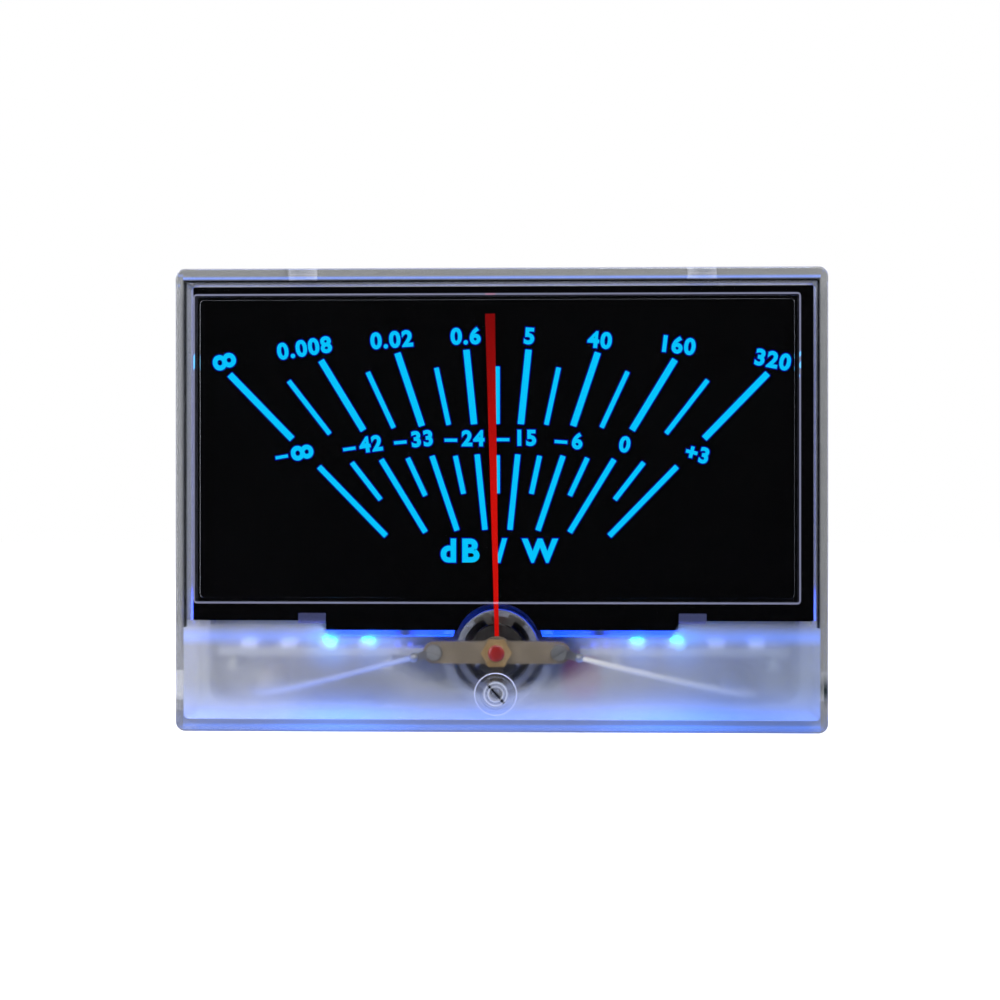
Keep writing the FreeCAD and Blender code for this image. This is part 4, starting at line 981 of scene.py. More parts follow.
        # Painted glow on the etched face: a band by the lamps and a wide one over the bottom wall.
        upper = hump(tree, height, self.upper_band, self.upper_reach, 0.0, self.upper_strength)
        lower = hump(tree, height, self.lower_band, self.lower_reach, 0.0, self.lower_strength)
        lower = add(tree, "Math", {0: lower, 1: under}, operation="MULTIPLY")
        level = add(tree, "Math", {0: upper, 1: lower}, operation="MAXIMUM")
        etched = {0: self.etched(tree, place)[1], 1: ahead}
        veiled = add(tree, "Math", etched, operation="MULTIPLY")
        scatter = add(tree, "Math", {0: level, 1: veiled}, operation="MULTIPLY")
        halo = add(tree, "Math", {0: self.halo(tree, place), 1: ahead}, operation="MULTIPLY")
        bright = add(tree, "Math", {0: halo, 1: self.spot_strength}, operation="MULTIPLY")
        scatter = add(tree, "Math", {0: scatter, 1: bright}, operation="ADD")
        # Painted glowing lines along the top and bottom walls' fronts.
        line = hump(tree, height, self.top_line, self.top_line_reach, 0.0, self.top_line_strength)
        low = hump(tree, height, self.low_line, self.low_line_reach, 0.0, self.low_line_strength)
        low = add(tree, "Math", {0: low, 1: under}, operation="MULTIPLY")
        line = add(tree, "Math", {0: line, 1: low}, operation="MAXIMUM")
        inside = add(tree, "Math", {0: across, 1: self.wall_x * MM}, operation="LESS_THAN")
        front = add(tree, "Math", {0: ahead, 1: inside}, operation="MULTIPLY")
        line = add(tree, "Math", {0: line, 1: front}, operation="MULTIPLY")
        most = add(tree, "Math", {0: floor, 1: scatter}, operation="MAXIMUM")
        led = add(tree, "Math", {0: most, 1: line}, operation="MAXIMUM")
        # Painted pale glow on the bevelled edges of the window and the boss, neither level nor
        # upright.
        depth = add(tree, "Math", {0: back}, operation="ABSOLUTE")
        slope = {0: depth, 1: self.bevel_slope, 2: self.bevel_spread}
        edge = add(tree, "Math", slope, operation="COMPARE")
        near = {0: halo, 6: linear(self.glow), 7: linear(self.halo_glow_tone)}
        colours = {0: edge, 6: add(tree, "Mix", near, data_type="RGBA"), 7: linear(self.edge_glow_tone)}
        amount = {"Value": edge, "To Min": led, "To Max": self.edge_strength}
        return add(tree, "Mix", colours, data_type="RGBA"), add(tree, "MapRange", amount)


@dataclass(frozen=True)
class SlottedHead(Clear):
    """Cloudy clear plastic turned to a slotted head, with painted slot shade and rim highlight."""

    middle_z: float = 7.9
    slot_angle: float = 48.0
    slot_half: float = 0.5
    # Painted shade in the slot.
    slot_shade_tone: str = "14161C"
    # Radii of the painted highlight rings: the head's rim and the edge of its stem.
    rims: tuple[float, float] = (2.35, 1.5)
    rim_reach: float = 0.3

    def tint(self, tree: NodeTree, place: Feed) -> Feed:
        """Draw the painted shade in the slot."""
        about = {"Vector": place, "Location": (-AXIS_X * MM, 0.0, -self.middle_z * MM)}
        turned = {
            "Vector": add(tree, "Mapping", about),
            "Rotation": (0.0, math.radians(-self.slot_angle), 0.0),
        }
        across = add(tree, "SeparateXYZ", {"Vector": add(tree, "Mapping", turned)}).outputs["Z"]
        slot = hump(tree, across, 0.0, self.slot_half)
        tones = {0: slot, 6: linear(self.tone), 7: linear(self.slot_shade_tone)}
        return add(tree, "Mix", tones, data_type="RGBA")

    def light(self, tree: NodeTree, place: Feed) -> tuple[object, object]:
        """Draw the painted highlight on the head's rim and on the edge of its stem."""
        middle = (AXIS_X * MM, 0.0, self.middle_z * MM)
        flat = add(tree, "VectorMath", {0: place, 1: (1.0, 0.0, 1.0)}, operation="MULTIPLY")
        away = add(tree, "VectorMath", {0: flat, 1: middle}, operation="DISTANCE")
        outer, inner = (hump(tree, away, rim, self.rim_reach) for rim in self.rims)
        lines = add(tree, "Math", {0: outer, 1: inner}, operation="MAXIMUM")
        strength = add(tree, "Math", {0: lines, 1: self.glow_strength}, operation="MULTIPLY")
        return linear(self.glow), strength


# ---------------------------------------------------------------- the parts
@dataclass
class SubAssembly:
    """A group of the meter's nodes and added pieces that belong together."""

    nodes: dict[str, Object]

    def dress(self, finish: Finish, *names: str) -> Material:
        """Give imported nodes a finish.

        Args:
            finish: The finish.
            names: The nodes that get it.

        Returns:
            Its material, for pieces that share it.
        """
        material = finish.make()
        for name in names:
            for place in self.nodes[name].material_slots:
                place.material = material
            LOG.info("dressed %s in %s", name, finish.name)
        return material

    def build(self) -> None:
        """Make and dress everything in the group."""
        raise NotImplementedError


@dataclass
class CaseShell(SubAssembly):
    """The clear front and the pale housing behind it."""

    dab_x: float = 16.8
    dab_z: float = 9.2
    dab: Heap = Heap(4.4, 0.08, ((0.7, 0.12), (1.2, 0.1), (1.4, 0.04)), 28)
    dab_stretch: Point = (1.0, 1.0, 1.3)
    mark_height: float = 5.0
    mark_thickness: float = 0.45
    mark_weight: float = 0.05
    mark_x: float = 50.0
    mark_z: float = 17.5
    back_y: float = 9.8
    inner_back_y: float = 7.8
    # Painted halos on the etched front: lamp in the row, brightness share, shift to the right.
    strong_lamps: tuple[tuple[int, float, float], ...] = (
        (2, 1.0, 1.9), (3, 0.6, 2.0), (4, 0.6, 0.0), (5, 0.6, 0.0),
    )
    lamp_gap: float = 4.0
    spot_rise: float = 0.3

    def varnish_dab(self) -> None:
        """Put the red dab that seals the movement's adjustment on the housing's inner back."""
        start = (self.dab_x, self.inner_back_y, self.dab_z)
        dab = Workpiece.heap(start, FRONT, self.dab)
        dab.pick(lambda middle, normal: True).stretch(self.dab_stretch, start)
        # Nitrocellulose varnish, brushed on: glossy pinkish red with darker patches.
        varnish = Finish("varnish_red_brushed", "C25A78", "AE4A6A", 0.3, 0.9, 0.02, coat=0.4).make()
        dab.finish("varnish_dab", Body.CASE, varnish, "seal_lacquer", soft_below=60)

    def polarity_marks(self, plastic: Material) -> None:
        """Raise a plus and a minus on the back over the two studs."""
        made = []
        for words, x in (("\u2013", -self.mark_x), ("+", self.mark_x)):
            depth = 2 * self.mark_thickness
            sign = Workpiece.lettering(words, self.mark_height, depth, self.mark_weight)
            about = Matrix.Rotation(math.pi, 4, "Z")
            made.append(sign.lay(shift(x, self.back_y, self.mark_z) @ about))
        Workpiece.whole(made).finish("polarity_marks", Body.CASE, plastic, "housing_moulding")

    def build(self) -> None:
        """Dress the shells and add the marks on them."""
        # General-purpose polystyrene, moulded clear: glass-bright, with a trace of lilac in thick
        # places. Below the dial the tool is etched, so what lies there shows softened and hazy.
        # Painted glow, halos and lines stand in for the lamps' light in it, and painted shade and a
        # painted reflection of the dial darken it in places.
        lamps = row_of(self.nodes["leds"], self.lamp_gap)
        spots = []
        for index, share, aside in self.strong_lamps:
            low, high = lamps[index]
            spots.append(((low.x + high.x) / 2 + aside, share, high.z + self.spot_rise))
        clear = FrostedFoot(
            "polystyrene_clear_moulded", "FAFBFF", "F2F5FC", 0.015, 18.0, 0.003, ior=1.59,
            glow="2E78FF", glow_strength=0.8, spots=tuple(spots),
        )
        self.dress(clear, "front_cover")
        # ABS in a warm pale grey, moulded in a spark-eroded tool: soft sheen and a fine even grain.
        abs_grey = Finish("abs_pale_grey_moulded", "BFBDAE", "BAB8A9", 0.5, 0.4, 0.006)
        plastic = self.dress(abs_grey, "rear_housing")
        self.varnish_dab()
        self.polarity_marks(plastic)


@dataclass(frozen=True)
class MarkRow:
    """One row of scale marks: the curves that its marks begin and end on, and their width.

    A curve is its height over the pivot at the middle, and how much it sags by each square
    millimetre outwards.
    """

    name: str
    inner: tuple[float, float]
    outer: tuple[float, float]
    width: float
    angles: tuple[float, ...]


LONG_ANGLES = (5.9, 18.6, 31.35, 44.2)
SHORT_ANGLES = (0.0, 12.2, 25.0, 37.8)


@dataclass
class LitDial(SubAssembly):
    """The black dial with its print, the light guide and the two clips."""

    ink: float = 0.04
    mark_corner: float = 0.12
    number_height: float = 3.2
    number_gap: float = 1.15
    dash_space: float = 0.45
    lower_number_share: float = 0.96
    endless_share: float = 1.44
    endless_from: float = 45.0
    unit_height: float = 4.6
    unit_gap: float = 1.3
    stroke: float = 0.042
    # The thin layer round each printed shape that carries a painted glow: its spread and depth.
    glow_rim: float = 0.22
    glow_rim_depth: float = 0.02
    rows: tuple[MarkRow, ...] = (
        MarkRow("upper_long", (47.70, 1.660e-3), (63.37, 1.613e-3), 1.34, LONG_ANGLES),
        MarkRow("upper_short", (47.70, 1.660e-3), (59.78, 1.518e-3), 0.98, SHORT_ANGLES),
        MarkRow("lower_long", (25.46, 2.372e-3), (41.32, 1.826e-3), 1.13, LONG_ANGLES),
        MarkRow("lower_short", (33.12, 2.230e-3), (41.11, 1.613e-3), 1.02, SHORT_ANGLES),
    )
    # Each number: its characters, distance right of the axis, height above the pivot, turn in
    # degrees. An eight that is turned further than `endless_from` is the sign for endless.
    upper_numbers: tuple = (
        ("8", -58.0, 60.9, 74.0),
        ("0.008", -40.75, 63.6, -8.4),
        ("0.02", -22.3, 65.3, -4.0),
        ("0.6", -6.7, 66.0, -1.0),
        ("5", 6.7, 66.0, 4.0),
        ("40", 21.5, 65.1, 5.0),
        ("160", 37.7, 64.0, 7.0),
        ("320", 57.6, 60.9, 11.0),
    )
    lower_numbers: tuple = (
        ("\u2013", -45.6, 41.0, -10.0),
        ("8", -41.5, 41.7, 80.0),
        ("\u2013 42", -28.35, 43.1, -8.0),
        ("\u2013 33", -17.55, 44.3, -5.0),
        ("\u2013 24", -6.85, 44.5, 0.0),
        ("\u2013 15", 4.15, 44.6, 0.0),
        ("\u2013 6", 15.05, 44.0, 4.0),
        ("0", 26.7, 43.2, 10.0),
        ("+3", 41.9, 41.2, 14.0),
    )
    unit: tuple = (("dB / W", 0.2, 20.8, 0.0),)

    def face(self) -> float:
        """Return the depth of the dial's front face."""
        return box_of("dial_plate")[0].y

    def reach(self, curve: tuple[float, float], angle: float) -> float:
        """Find where a mark meets one of the row's curves.

        Args:
            curve: Height on the axis, and how much it sags by each square millimetre outwards.
            angle: The mark's angle from upright in degrees.

        Returns:
            The distance from the pointer's axis in millimetres.
        """
        rise, sag = curve
        slope = math.tan(math.radians(angle))
        bend = sag * slope * slope
        height = (math.sqrt(1 + 4 * bend * rise) - 1) / (2 * bend) if bend else rise
        return height / math.cos(math.radians(angle))

    def mark(self, row: MarkRow, angle: float, grow: float, ink: float) -> Workpiece:
        """Print one straight mark at an angle from upright."""
        half = row.width / 2 + grow
        low = (-half, -ink, self.reach(row.inner, angle) - grow)
        high = (half, 0.0, self.reach(row.outer, angle) + grow)
        blank = Workpiece.block(low, high)
        blank.pick_edges(lambda middle, way: abs(way.y) > ALONG).bevel(self.mark_corner + grow)
        return blank.lay(turn(angle))

    def marks(self, row: MarkRow, grow: float, ink: float) -> Workpiece:
        """Print the marks of one row on both sides of the axis.

        Args:
            row: The row.
            grow: How far the ink spreads beyond each mark, in millimetres.
            ink: How thick it lies.

        Returns:
            The marks, joined and in place.
        """
        made = []
        for angle in row.angles:
            first = self.mark(row, angle, grow, ink)
            made.append(first)
            if angle:
                made.append(first.copy(turn(-2 * angle)))
        return Workpiece.whole(made).lay(shift(AXIS_X, self.face(), PIVOT_Z))

    def words(self, words: tuple, height: float, gap: float, grow: float, ink: float) -> Workpiece:
        """Print words or numbers, each turned to follow its row.

        Args:
            words: The characters of each, its place and its turn.
            height: Height of a digit in millimetres.
            gap: The step from letter to letter, as a share of the usual one.
            grow: How far the ink spreads beyond each letter, in millimetres.
            ink: How thick it lies.

        Returns:
            The words, joined and in place.
        """
        made = []
        for text, x, z, angle in words:
            endless = text == "8" and abs(angle) > self.endless_from
            size = height * (self.endless_share if endless else 1.0)
            weight = self.stroke * height / size
            space = self.dash_space if text.startswith("\u2013") else 1.0
            number = Workpiece.lettering(text, size, ink, weight, grow, gap, space)
            place = shift(AXIS_X + x, self.face() - ink / 2, PIVOT_Z + z)
            made.append(number.lay(place @ turn(angle)))
        return Workpiece.whole(made)

    def print_layer(self, grow: float, depth: float) -> dict[str, Workpiece]:
        """Print every mark, number and word once.

        Args:
            grow: How far it spreads beyond each shape, in millimetres.
            depth: How thick it lies.

        Returns:
            The joined pieces by name.
        """
        lower = self.number_height * self.lower_number_share
        layer = {"scale_marks_" + row.name: self.marks(row, grow, depth) for row in self.rows}
        for name, words, height, gap in (
            ("scale_numbers_upper", self.upper_numbers, self.number_height, self.number_gap),
            ("scale_numbers_lower", self.lower_numbers, lower, self.number_gap),
            ("unit_symbols", self.unit, self.unit_height, self.unit_gap),
        ):
            layer[name] = self.words(words, height, gap, grow, depth)
        return layer

    def build(self) -> None:
        """Print the dial and dress its layers."""
        # Aluminium sheet, screen-printed matt black: deep black with the faintest warm bloom.
        black = Finish(
            "aluminium_black_screen_printed", "040404", "060505", 0.85, 0.25, 0.003, specular=0.03
        )
        self.dress(black, "dial_plate")
        # Cast acrylic, sawn and lit from below: water-clear faces, and a painted bright blue glow
        # on the cut edges.
        acrylic = EdgeLit(
            "acrylic_edge_lit_sawn", "F4F8FF", "E8F0FF", 0.05, 6.0, 0.004, ior=1.49,
            glow="0E48FF", glow_strength=4.5,
        )
        self.dress(acrylic, "light_guide")
        # Polyester film: even matt white, with a slight cloudiness.
        film = Finish("polyester_white_film", "F2F3F5", "E9EBEE", 0.6, 0.5, 0.002)
        self.dress(film, "reflector_sheet")
        # Polycarbonate, moulded: cloudy clear, with a faint painted lilac glow for the light that
        # comes through it.
        smoky = Clear(
            "polycarbonate_clear_moulded", "7C80A8", "D6D8EA", 0.08, 4.0, 0.004, ior=1.585,
            clearness=0.7, glow="6A70C8", glow_strength=0.03,
        )
        self.dress(smoky, "dial_clips")
        # Translucent ink over the dial's clear marks: nearly black itself, with an even sky-blue
        # glow painted on for the light from behind.
        sky = Finish(
            "ink_printed_painted_sky_blue_glow", "000C16", "000A12", 0.7, 0.3, 0.001, specular=0.05,
            glow="00CAFF", glow_strength=1.05,
        )
        ink = sky.make()
        for name, piece in self.print_layer(0.0, self.ink).items():
            piece.finish(name, Body.CASE, ink, "dial_black")
        # A painted glow for the same light creeping out under the black round each shape: a thin
        # deep blue rim.
        deep = Finish(
            "painted_deep_blue_glow_rim", "00000A", "000008", 0.7, 0.3, 0.001, specular=0.03,
            glow="0600B4", glow_strength=0.7,
        )
        under = list(self.print_layer(self.glow_rim, self.glow_rim_depth).values())
        Workpiece.whole(under).finish("scale_painted_glow_rims", Body.CASE, deep.make(), "dial_black")


@dataclass
class LampBoards(SubAssembly):
    """The two boards under the dial with their lamps, resistors and supply pins."""

    lens: Heap = Heap(1.15, 0.12, ((0.2, 0.1), (0.3, 0.08), (0.35, 0.05)))
    inner_lamps: int = 2
    lamp_gap: float = 4.0
    fillet_reach: float = 0.7
    fillet_height: float = 0.9
    fillet_inset: float = 0.35
    fillet_fall: float = 0.85
    resistor_gap: float = 2.5
    cap_length: float = 0.35
    cap_proud: float = 0.03
    pin_gap: float = 1.0
    cone: Heap = Heap(0.85, 0.3, ((0.25, 0.25), (0.2, 0.35)))

    def lenses(self) -> None:
        """Set the lens on each lamp: the two next to the movement on each side shine most."""
        # Silicone over a lit chip: a cyan-blue body with a white-hot middle.
        bright = Finish(
            "silicone_lit_cast", "DDF4FF", "BFE6FF", 0.15, 0.4, 0.002,
            glow="00B0FF", glow_strength=20.0,
        )
        # The same over a chip that is driven weakly: violet-blue.
        weak = Finish(
            "silicone_dim_cast", "C9DCFF", "B4CCFF", 0.15, 0.4, 0.002,
            glow="2A50FF", glow_strength=1.5,
        )
        lamps = row_of(self.nodes["leds"], self.lamp_gap)
        middle = len(lamps) // 2
        near = lamps[middle - self.inner_lamps : middle + self.inner_lamps]
        far = lamps[: middle - self.inner_lamps] + lamps[middle + self.inner_lamps :]
        for name, boxes, finish in (
            ("lamp_lenses_near", near, bright),
            ("lamp_lenses_far", far, weak),
        ):
            made = []
            for low, high in boxes:
                start = ((low.x + high.x) / 2, (low.y + high.y) / 2, high.z)
                made.append(Workpiece.heap(start, UP, self.lens))
            Workpiece.whole(made).finish(name, Body.CASE, finish.make(), "lamp_body", soft_below=60)

    def lamp_solder(self, solder: Material) -> None:
        """Run a fillet of solder up both ends of each lamp."""
        made = []
        inset = self.fillet_inset
        fall = (0, 0, -self.fillet_fall * self.fillet_height)
        for low, high in row_of(self.nodes["leds"], self.lamp_gap):
            top = low.z + self.fillet_height
            for side, x in ((-1, low.x), (1, high.x)):
                free = x + side * self.fillet_reach
                near, far = sorted((x, free))
                blank = Workpiece.block((near, low.y + inset, low.z), (far, high.y - inset, top))
                corner = Vector((free, (low.y + high.y) / 2, top))
                blank.pick_edges(lambda middle, way, corner=corner: (middle - corner).length < NEAR)
                made.append(blank.move(fall))
        Workpiece.whole(made).finish("lamp_solder", Body.CASE, solder, "pin_tin", soft_below=20)

    def resistor_caps(self, tin: Material) -> None:
        """Fit the two metal ends of each resistor."""
        made = []
        proud = self.cap_proud
        for low, high in row_of(self.nodes["resistors"], self.resistor_gap):
            for near in (low.x, high.x - self.cap_length):
                far = near + self.cap_length
                start = (near - proud, low.y - proud, low.z)
                cap = Workpiece.block(start, (far + proud, high.y + proud, high.z + proud))
                cap.pick_edges(lambda middle, way: abs(way.z) < ACROSS).bevel(proud, 1)
                made.append(cap)
        Workpiece.whole(made).finish("resistor_caps", Body.CASE, tin, "pin_tin", soft_below=30)

    def pin_solder(self, solder: Material) -> None:
        """Heap solder over the front end of each supply pin."""
        made = []
        for low, high in row_of(self.nodes["lamp_pins"], self.pin_gap):
            start = ((low.x + high.x) / 2, low.y + self.cone.radius / 2, low.z)
            made.append(Workpiece.heap(start, UP, self.cone))
        Workpiece.whole(made).finish("pin_solder", Body.CASE, solder, "pin_tin", soft_below=50)

    def build(self) -> None:
        """Dress the boards and everything on them."""
        # Glass epoxy under a white mask: dull white with the cloth's weave just showing.
        board = Laminate("glass_epoxy_white_masked", "B4B5B6", "A8AAAC", 0.45, 0.5, 0.004)
        self.dress(board, "lamp_board_left", "lamp_board_right")
        # Polyamide, moulded: opaque white lamp bodies, lit through a little.
        body = Finish(
            "polyamide_white_moulded", "E6E8EA", "D9DCE0", 0.45, 0.2, 0.003,
            glow="1660FF", glow_strength=0.2,
        )
        self.dress(body, "leds")
        # Alumina with a black glaze: small glossy black chips.
        chip = Finish("alumina_black_glazed", "1B1C20", "26272B", 0.35, 0.15, 0.003)
        self.dress(chip, "resistors")
        # Brass wire, drawn square and tinned: bright grey with lines along its length.
        pin = Rolled(
            "brass_tinned_drawn", "C4C2BB", "ADABA4", 0.28, 0.3, 0.003,
            metallic=1.0, along=(1.0, 0.06, 1.0),
        )
        tin = self.dress(pin, "lamp_pins")
        # Tin solder, flowed: bright, slightly wrinkled and bluish.
        tinned = Finish("tin_solder_flowed", "C6C9CE", "A9ADB4", 0.22, 0.5, 0.02, metallic=1.0)
        solder = tinned.make()
        self.lenses()
        self.lamp_solder(solder)
        self.resistor_caps(tin)
        self.pin_solder(solder)


@dataclass
class Movement(SubAssembly):
    """The fixed side of the moving-coil movement."""

    drop: Heap = Heap(1.72, 0.1, ((0.16, 0.12), (0.3, 0.1), (0.4, 0.06), (0.4, 0.02)), 32)
    joint: Heap = Heap(0.95, 0.12, ((0.25, 0.2), (0.25, 0.25), (0.2, 0.12)))
    joint_aside: float = 0.3
    joint_gap: float = 0.02
    lead_radius: float = 0.5

    def lacquer_drop(self) -> None:
        """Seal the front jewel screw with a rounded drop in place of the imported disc."""
        start = (AXIS_X, box_of("lacquer_seal")[1].y, PIVOT_Z)
        drop = Workpiece.heap(start, FRONT, self.drop)
        # Sealing lacquer, brushed on thick: wet-looking blood red, with darker patches.
        finish = Finish("lacquer_red_brushed", "BE2A26", "9A1A18", 0.16, 0.8, 0.03, coat=0.6)
        lacquer = finish.make()
        piece = drop.finish("lacquer_drop", Body.CASE, lacquer, "seal_lacquer", soft_below=60)
        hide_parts("lacquer_seal")

    def tag_joints(self, solder: Material) -> None:
        """Solder the leads to the movement's two tags."""
        made = []
        for name, side in (("lead_left", -1), ("lead_right", 1)):
            low, high = box_of(name)
            x = (high.x if side < 0 else low.x) + side * self.lead_radius
            y = box_of("movement_tags")[0].y
            aside = x - side * self.joint_aside
            start = (aside, y + self.joint_gap, high.z - self.lead_radius)
            made.append(Workpiece.heap(start, FRONT, self.joint))
        Workpiece.whole(made).finish("tag_joints", Body.CASE, solder, "tag_tin", soft_below=60)

    def build(self) -> None:
        """Dress the movement's fixed parts."""
        # Zinc alloy, die-cast: dull warm grey with cloudy patches.
        zinc = Cast("zinc_die_cast", "A9A49A", "8E8980", 0.36, 0.5, 0.012, metallic=1.0)
        self.dress(zinc, "movement_frame", "core_holders")
        # Zinc alloy with a thin bronze wash: dull grey-tan, with browner cloudy patches.
        washed = Cast("zinc_bronze_washed_cast", "9C8C72", "86775E", 0.6, 0.5, 0.012, metallic=0.35)
        self.dress(washed, "front_bridge")
        # Steel, zinc-plated: fine rings, drawn coarser than the tool's real feed.
        plated = Turned(
            "steel_zinc_plated_turned", "BEBDB8", "A4A39D", 0.42, 0.3, 0.003, metallic=0.9
        )
        self.dress(plated, "movement_screws", "bridge_screws", "pointer_stops")
        # Brass sheet, stamped and tinned: silvery, with faint lines from the rolls.
        tags = Rolled("brass_tinned_stamped", "C2BFB8", "A8A59E", 0.32, 0.25, 0.003, metallic=1.0)
        self.dress(tags, "movement_tags")
        # Soft iron, turned and nickel-plated: cool grey rings, drawn coarser than they are.
        iron = Turned(
            "iron_nickel_plated_turned", "B4B6BC", "9A9CA2", 0.5, 0.35, 0.004, metallic=0.8
        )
        self.dress(iron, "yoke_ring")
        # Aluminium-nickel-cobalt magnet, cast and ground: dark grey and slightly pitted.
        alnico = Cast("alnico_cast_ground", "77746F", "5F5C58", 0.38, 0.3, 0.008, metallic=1.0)
        self.dress(alnico, "core_magnet")
        # Brass, turned: yellow with fine rings, drawn coarser than they are.
        brass = Turned("brass_turned", "CDAE7C", "B8955F", 0.5, 0.3, 0.003, metallic=0.8)
        bearings = ("front_jewel_screw", "rear_jewel_screw", "front_lock_nut", "rear_lock_nut")
        self.dress(brass, *bearings)
        # Synthetic spinel, polished: pale pink and glassy.
        spinel = Clear("spinel_pink_polished", "E8A0B0", "E8B4C0", 0.03, 0.4, 0.001, ior=1.72)
        self.dress(spinel, "bearing_jewels")
        # Brass sheet, stamped: a little browner than the turned parts.
        lever = Rolled("brass_stamped", "C9AC80", "B39468", 0.52, 0.3, 0.003, metallic=0.75)
        self.dress(lever, "rear_spring_anchor", "balance_cross")
        # The same, blackened: brown-grey and dull.
        dark = Rolled("brass_blackened_stamped", "5E5446", "4C4338", 0.5, 0.3, 0.003, metallic=0.5)
        self.dress(dark, "zero_lever")
        # Phosphor bronze ribbon, rolled: coppery and bright along its edge.
        bronze = Rolled("phosphor_bronze_rolled", "B07A4A", "96663C", 0.3, 0.2, 0.002, metallic=1.0)
        self.dress(bronze, "hairspring_front", "hairspring_rear")
        self.lacquer_drop()
        # Tin solder, flowed over the tags: bright and a little wrinkled.
        solder = Finish("tin_solder_heaped", "C9C8C6", "AEADAB", 0.24, 0.5, 0.02, metallic=1.0)
        self.tag_joints(solder.make())


@dataclass
class SwingingCoil(SubAssembly):
    """The coil with its hubs, balance and pointer."""

    def build(self) -> None:
        """Dress the parts that swing."""
        # Aluminium sheet, sprayed fluorescent red, with a faint painted glow: painted light makes
        # it fiery at the bottom, and painted shade turns it blood red toward the tip.
        red = SprayedPaintedShade(
            "aluminium_red_sprayed", "E60C02", "700000", 0.6, 0.3, 0.002, specular=0.06,
            glow="FF0A00", glow_strength=0.1,
        )
        self.dress(red, "pointer")
        # Polyamide, moulded black: satin and even.
        hub = Finish("polyamide_black_moulded", "1C1A19", "262322", 0.45, 0.3, 0.004)
        self.dress(hub, "pointer_hub", "rear_hub")
        # Steel, hardened and polished: bright, with rings drawn coarser than they are.
        steel = Turned("steel_hard_polished", "C4C4C2", "A9A9A7", 0.18, 0.3, 0.002, metallic=1.0)
        self.dress(steel, "pivot_pins")
        # Aluminium foil, folded: pale and soft-edged.
        foil = Rolled("aluminium_foil_folded", "C9CBCE", "B2B4B8", 0.3, 0.2, 0.003, metallic=1.0)
        self.dress(foil, "coil_former")
        # Copper wire under clear enamel: red-brown ridges, drawn twice as wide as the wire.
        copper = Wound("copper_enamelled_wound", "A4532A", "7E3A1C", 0.3, 0.2, 0.02, coat=0.5)
        self.dress(copper, "coil_winding")
        # Tinned wire, coiled: grey ridges.
        coiled = Wound("steel_tinned_coiled", "C8C6C0", "A8A6A0", 0.35, 0.25, 0.02, metallic=1.0)
        self.dress(coiled, "balance_weights")


@dataclass
class ZeroAdjuster(SubAssembly):
    """The slotted zero adjuster in the case front."""

    def build(self) -> None:
        """Dress the adjuster."""
        # Polyamide, moulded without pigment: cloudy clear, with a soft shine, painted shade in the
        # slot and a painted highlight round the head and stem.
        natural = SlottedHead(
            "polyamide_natural_moulded", "D6DAE6", "D0D6E2", 0.12, 1.5, 0.006,
            ior=1.53, clearness=0.8, glow="D8DAE8", glow_strength=0.2,
        )
        self.dress(natural, "zero_adjuster")


